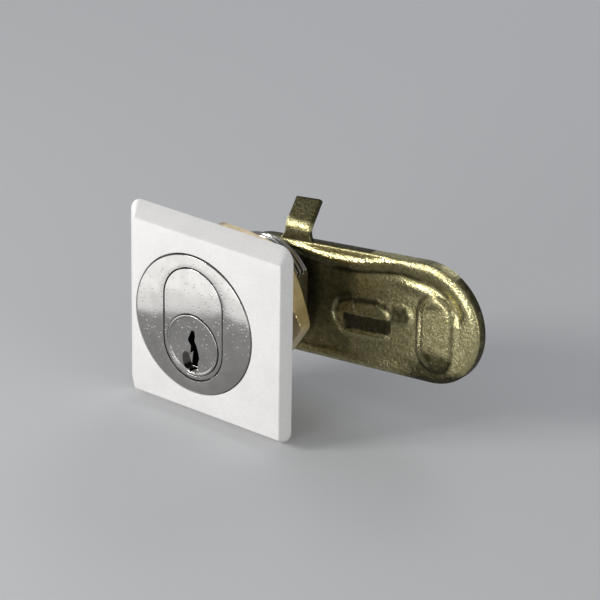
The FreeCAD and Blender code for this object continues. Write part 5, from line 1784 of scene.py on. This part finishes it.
    def tab(self) -> Piece:
        """The bent tab: a rounded strip section carried up, round the bend and on straight.

        The strip narrows and drifts to the left as it rises, flares at its foot and ends in a slanted tip.

        Returns:
            The tab as its own shell.
        """
        lean = math.radians(self.tab_lean)
        middle = self.pan + self.sheet / 2
        foot_rows, bend_rows, top_rows = self.tab_rows
        turn = np.linspace(0, lean, bend_rows)
        foot_z = np.linspace(self.tab_foot, self.tab_bend_start, foot_rows)[:-1]
        bend_y = middle + self.tab_bend * (1 - np.cos(turn))
        bend_z = self.tab_bend_start + self.tab_bend * np.sin(turn)
        straight = (self.tab_top - self.tab_tip - bend_z[-1]) / math.cos(lean)
        beyond = np.linspace(0, straight, top_rows)[1:]
        y = np.concatenate([np.full_like(foot_z, middle), bend_y, bend_y[-1] + beyond * math.sin(lean)])
        z = np.concatenate([foot_z, bend_z, bend_z[-1] + beyond * math.cos(lean)])
        tilt = np.concatenate([np.zeros_like(foot_z), turn, np.full(len(beyond), lean)])
        rise = (z - self.tab_foot) / (self.tab_top - self.tab_foot)
        half = self.tab_half[0] + (self.tab_half[1] - self.tab_half[0]) * rise
        flare_from, flare_over = self.tab_flare_run
        half = half + self.tab_flare * np.clip(1 - (z - flare_from) / flare_over, 0, 1) ** 2
        centre = self.tab_middle[0] + (self.tab_middle[1] - self.tab_middle[0]) * rise
        half_t, soft = self.sheet / 2, self.tab_soft
        corner = np.linspace(0, np.pi / 2, self.tab_corner)
        wide, thick, sign = [], [], []
        for turns, (sx, st) in enumerate(((1, 1), (-1, 1), (-1, -1), (1, -1))):
            angle = corner + turns * np.pi / 2
            sign.append(np.full(self.tab_corner, sx))
            wide.append(soft * np.cos(angle) - sx * soft)
            thick.append(st * (half_t - soft) + soft * np.sin(angle))
        sign, wide, thick = (np.concatenate(part)[None, :] for part in (sign, wide, thick))
        aside = sign * half[:, None] + wide
        slant = self.tab_slant * aside * smooth_step((rise[:, None] - 0.5) / 0.5)
        rows = np.stack([centre[:, None] + aside,
                         y[:, None] - thick * np.cos(tilt)[:, None] + slant * math.sin(lean),
                         z[:, None] + thick * np.sin(tilt)[:, None] + slant * math.cos(lean)], axis=-1)
        core = rows[-1].mean(axis=0)
        ahead = np.array((0, math.sin(lean), math.cos(lean)))
        tip = np.stack([core + (rows[-1] - core) * share + ahead * step for share, step in self.tip_steps])
        return capped(np.concatenate([rows, tip]), "tab")

    def build(self) -> Piece:
        """Make the tray, cut the square hole, add the tab and mark the worn zones with their painted light.

        Returns:
            The cam.
        """
        piece = self.tray().build("pressed_cam", 40.0)
        half = self.square / 2
        corners = np.array([(half, half), (-half, half), (-half, -half), (half, -half)]) + (0, self.axis_z)
        carve(piece, prism(corners, self.pan - 1, self.pan + self.sheet + 1), crease=40.0)
        join(piece, self.tab(), crease=40.0)
        CamWearAndLight(self).mark(piece)
        return piece


@dataclass
class CamWearAndLight:
    """Zones of painted highlight and painted shade on the cam, which also make rubbed spots glossier.

    Each zone is a number from 0 to about 1 over the cam's points. Plain surface has a value of 0.5, the
    strongest highlight zone lifts it towards 1, a painted highlight, and the strongest shade zone lowers it
    towards 0, painted shade. A pair whose name ends in band is a hill's middle and width, and the glint has a
    place and a size; each other pair says where a change begins or ends and over what stretch it goes on.
    """

    cam: PressedCam
    plain: float = 0.5
    bright: float = 0.9
    mild: float = 0.8
    faint: float = 0.7
    edge_band: Pair = (-0.6, 0.7)
    shoulder_band: Pair = (2.0, 1.8)
    shoulder_run: Pair = (36.0, 12.0)
    valley_band: Pair = (0.0, 0.8)
    valley_before: float = 9.0
    valley_over: float = 8.0
    flank_band: Pair = (1.6, 0.9)
    flank_over: float = 2.0
    beside_run: Pair = (57.0, 3.0)
    beside_rise: Pair = (-8.0, 5.0)
    beside_gap: float = 0.8
    foot_band: Pair = (0.3, 0.55)
    foot_right: float = 0.55
    low_end_run: Pair = (-2.5, 3.0)
    high_end_run: Pair = (6.5, 3.0)
    end_over: float = 0.5
    level_run: Pair = (2.3, 0.6)
    level_rise: Pair = (-0.2, 0.4)
    round_band: Pair = (0.8, 0.7)
    round_run: Pair = (25.0, 2.5)
    round_rise: Pair = (3.5, 2.0)
    lip_band: Pair = (-1.1, 0.9)
    lip_over: float = 0.4
    lip_run: Pair = (23.0, 3.0)
    glint_place: Pair = (23.05, -0.8)
    glint_size: Pair = (0.8, 1.9)
    slope_band: Pair = (1.3, 1.25)
    slope_rise: Pair = (1.0, 2.0)
    slope_run: Pair = (20.5, 3.0)
    fall_depth: Pair = (0.6, 1.4)
    fall_top: Pair = (0.2, 0.8)
    fall_foot: Pair = (-0.8, 1.4)
    fall_run: Pair = (22.9, 1.8)
    fall_end: Pair = (0.6, 1.2)
    cut: float = 0.5
    cut_band: Pair = (-0.3, 0.7)
    hook: float = 2.0
    hook_band: Pair = (0.9, 0.5)
    hook_start: float = 44.5
    hook_rise: Pair = (4.2, 0.8)
    nib_over: float = 1.6
    nib_rise: Pair = (0.4, 1.4)
    nib_run: Pair = (-0.6, 1.2)
    # The next fields darken the lower right of the head, the hub's side of the step, the turned skirt and the
    # tab's upper part: painted shade.
    low: float = 0.5
    low_run: Pair = (38.0, 12.0)
    low_rise: Pair = (-6.5, 4.0)
    hub_side: float = 0.16
    skirt: float = 0.6
    skirt_run: Pair = (0.8, 0.7)
    tab_shade: float = 0.55
    tab_run: Pair = (19.0, 2.2)

    def rim_zones(self, x: np.ndarray, place: RimPlace) -> tuple[list[np.ndarray], list[np.ndarray]]:
        """Zones of the rim: painted highlight on the rolled edge and shoulder, painted shade in the valley.

        Args:
            x: points across.
            place: their place against the rim.

        Returns:
            The painted highlights and the painted shades.
        """
        past = place.inside - place.reach
        rolled_edge = band(place.inside, *self.edge_band) * place.upper
        shoulder = self.bright * band(past, *self.shoulder_band) * place.sunk
        shoulder = shoulder * rising(place.foot, *self.shoulder_run)
        valley = self.bright * band(past, *self.valley_band) * place.sunk
        valley = valley * rising(x, self.cam.step_place - self.valley_before, self.valley_over)
        return [rolled_edge, shoulder], [valley]

    def boss_zones(self, x: np.ndarray, z: np.ndarray,
                   place: RimPlace) -> tuple[list[np.ndarray], list[np.ndarray]]:
        """Zones of the boss: painted highlight on left flank and land to its right, painted shade at foot and
        ends.

        Args:
            x: points across.
            z: points up.
            place: their place against the rim.

        Returns:
            The painted highlights and the painted shades.
        """
        depth = self.cam.oval_depth(x, z, self.cam.boss, self.cam.boss_size)
        left = falling(x, self.cam.boss[0], self.flank_over)
        flank = band(depth, *self.flank_band) * left
        beside = rising(x, *self.beside_run) * rising(z, *self.beside_rise)
        beside = beside * falling(depth, 0, self.beside_gap) * rising(place.inside, 1)
        foot = self.bright * band(depth, *self.foot_band) * (self.foot_right + (1 - self.foot_right) * left)
        ends = np.maximum(falling(z, *self.low_end_run), rising(z, *self.high_end_run))
        return [flank, beside], [foot, self.bright * ends * rising(depth, 0, self.end_over)]

    def rib_zones(self, x: np.ndarray, z: np.ndarray) -> tuple[list[np.ndarray], list[np.ndarray]]:
        """Zones of the rib, cut off at its right end: painted highlight on crest, lip, left end; painted
        shade on slopes.

        Args:
            x: points across.
            z: points up.

        Returns:
            The painted highlights and the painted shades.
        """
        cam = self.cam
        along, up = cam.slanted(x, z, cam.rib)
        depth = cam.oval_depth(along, up, cam.rib, cam.rib_size)
        above_foot, below_top = up - cam.rib_fall[1], up - cam.rib_fall[0]
        past_end = x - cam.rib_end
        before = falling(past_end, 0)
        level = self.mild * rising(depth, *self.level_run) * rising(below_top, *self.level_rise) * before
        round_end = self.faint * band(depth, *self.round_band)
        round_end = round_end * falling(along, *self.round_run) * falling(up, *self.round_rise)
        lip = band(above_foot, *self.lip_band) * rising(depth, 0, self.lip_over)
        lip = lip * rising(along, *self.lip_run) * before
        across, rise = ((value - middle) / size for value, middle, size
                        in zip((along, up), self.glint_place, self.glint_size))
        glint = band(np.hypot(across, rise), 0.0, 1.0)
        upper_slope = band(depth, *self.slope_band) * rising(up, *self.slope_rise)
        upper_slope = upper_slope * rising(along, *self.slope_run) * before
        fall = rising(depth, *self.fall_depth) * falling(below_top, *self.fall_top)
        fall = fall * rising(above_foot, *self.fall_foot) * rising(along, *self.fall_run)
        fall = fall * falling(past_end, *self.fall_end)
        cut = self.cut * band(past_end, *self.cut_band) * (depth > 0)
        return [level, round_end, lip, glint], [upper_slope, fall, cut]

    def nib_zones(self, x: np.ndarray, z: np.ndarray) -> tuple[list[np.ndarray], list[np.ndarray]]:
        """Zones of the nib beyond the rib: painted highlight round its right end and painted shade on its
        top.

        Args:
            x: points across.
            z: points up.

        Returns:
            The painted highlights and the painted shades.
        """
        cam = self.cam
        along, up = cam.slanted(x, z, cam.nib)
        depth = cam.oval_depth(along, up, cam.nib, cam.nib_size)
        hook = self.hook * band(depth, *self.hook_band) * rising(along, self.hook_start)
        top = self.mild * rising(depth, 0, self.nib_over) * rising(up, *self.nib_rise)
        return [hook * falling(up, *self.hook_rise)], [top * rising(x - cam.rib_end, *self.nib_run)]

    def face(self, x: np.ndarray, z: np.ndarray) -> np.ndarray:
        """Painted highlight and painted shade of the cam's pressed face, which also set its gloss.

        The lower right of the head and the hub's side of the step get extra painted shade.

        Args:
            x: points across.
            z: points up.

        Returns:
            0 in the darkest painted shade, 0.5 on plain surface and 1 in the brightest painted highlight.
        """
        place = self.cam.locate(x, z)
        zones = [self.rim_zones(x, place), self.boss_zones(x, z, place), self.rib_zones(x, z),
                 self.nib_zones(x, z)]
        highlights, shades = (np.max(np.concatenate(kind), axis=0) for kind in zip(*zones))
        low = self.low * rising(x, *self.low_run) * falling(z, *self.low_rise)
        hub_side = self.hub_side * falling(x, self.cam.step_place) * (place.inside > 1.0)
        return np.clip(self.plain * (1 + highlights - shades) - low - hub_side, 0, 1)

    def mark(self, piece: Piece) -> None:
        """Write the marked value of every point, with painted shade on the turned skirt and the tab's upper
        part.

        Args:
            piece: the finished cam.
        """
        cam = self.cam
        x, y, z = places(piece)
        skirt = self.skirt * rising(y - cam.crest, *self.skirt_run)
        worn_and_lit = np.clip(self.face(x, z) - skirt, 0, 1)
        tab = self.plain - self.tab_shade * rising(z, *self.tab_run)
        mark(piece, WEAR_AND_LIGHT, np.where(z > cam.tab_bend_start + 1, tab, worn_and_lit))


class Assembly:
    """Dresses every piece of the lock and ties it to its body."""

    def __init__(self, nodes: dict[str, Piece]) -> None:
        """Make the materials.

        Args:
            nodes: the construction's own objects by name.
        """
        self.nodes = nodes
        self.finishes: dict[Slot, Material] = {
            Slot.PAINT: PowderCoat().material(),
            Slot.RUBBER: Rubber().material(),
            Slot.HOUSING: SatinNickel("housing_satin_nickel").material(),
            Slot.CYLINDER: SatinNickel("cylinder_satin_nickel").material(),
            Slot.ZINC: ZincPlate("bright_zinc").material(),
            Slot.NUT: Brass("nut_cast_brass").material(),
            Slot.PIN: Brass("pin_turned_brass", (0.78, 0.60, 0.30), (0.62, 0.45, 0.20),
                            (0.18, 0.3)).material(),
            Slot.HARD: ZincPlate("hardened_steel", (0.42, 0.42, 0.43), (0.30, 0.30, 0.31)).material(),
            Slot.SPRING: ZincPlate("spring_steel", (0.50, 0.50, 0.50), (0.36, 0.36, 0.37)).material(),
            Slot.CAM: YellowPassivated().material(),
        }

    def place(self, piece: Piece, body: Body, slot: Slot, *replaced: str) -> None:
        """Dress a new piece and let it stand for construction nodes.

        Args:
            piece: the new piece.
            body: the body that carries it.
            slot: the record's slot of its finish.
            replaced: the nodes that it stands for.
        """
        piece.data.materials.clear()
        piece.data.materials.append(self.finishes[slot])
        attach(piece, body.value)
        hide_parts(*replaced)
        LOG.info("%s: %d faces, stands for %s", piece.name, len(piece.data.polygons), ", ".join(replaced))

    def dress_nodes(self, record: dict, replaced: set[str]) -> None:
        """Give every construction node that stays its own finish.

        Args:
            record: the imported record.
            replaced: nodes that new pieces stand for.
        """
        for row in record["subparts"]:
            if row["node"] in replaced:
                continue
            material = self.finishes[Slot(row["material_slot"])]
            for slot in self.nodes[row["node"]].material_slots:
                slot.material = material
            LOG.info("%s keeps its own shape", row["node"])


def main() -> None:
    """Build the studio and every piece in order."""
    logging.basicConfig(level=logging.INFO, format="%(name)s: %(message)s")
    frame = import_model()
    Studio().build()
    assembly = Assembly(frame["nodes"])
    assembly.place(FacePlate().build(), Body.HOUSING, Slot.PAINT, "face_plate")
    assembly.place(LockHousing().build(), Body.HOUSING, Slot.HOUSING, "lock_housing")
    assembly.place(PinCylinder().build(), Body.HOUSING, Slot.CYLINDER, "cylinder_body")
    assembly.place(HexNut().build(), Body.HOUSING, Slot.NUT, "hex_nut")
    assembly.place(Plug().build(), Body.PLUG, Slot.CYLINDER, "plug")
    assembly.place(PressedCam().build(), Body.CAM, Slot.CAM, "cam")
    replaced = {"face_plate", "lock_housing", "cylinder_body", "hex_nut", "plug", "cam"}
    for number, lift in enumerate(PIN_LIFTS, 1):
        spring = PinSpring(number, lift)
        piece = spring.build()
        assembly.place(piece, Body.HOUSING, Slot.SPRING, f"pin_spring_{number}")
        spring.follow(piece)
        replaced.add(f"pin_spring_{number}")
    assembly.dress_nodes(frame["record"], replaced)


if __name__ == "__main__":
    main()
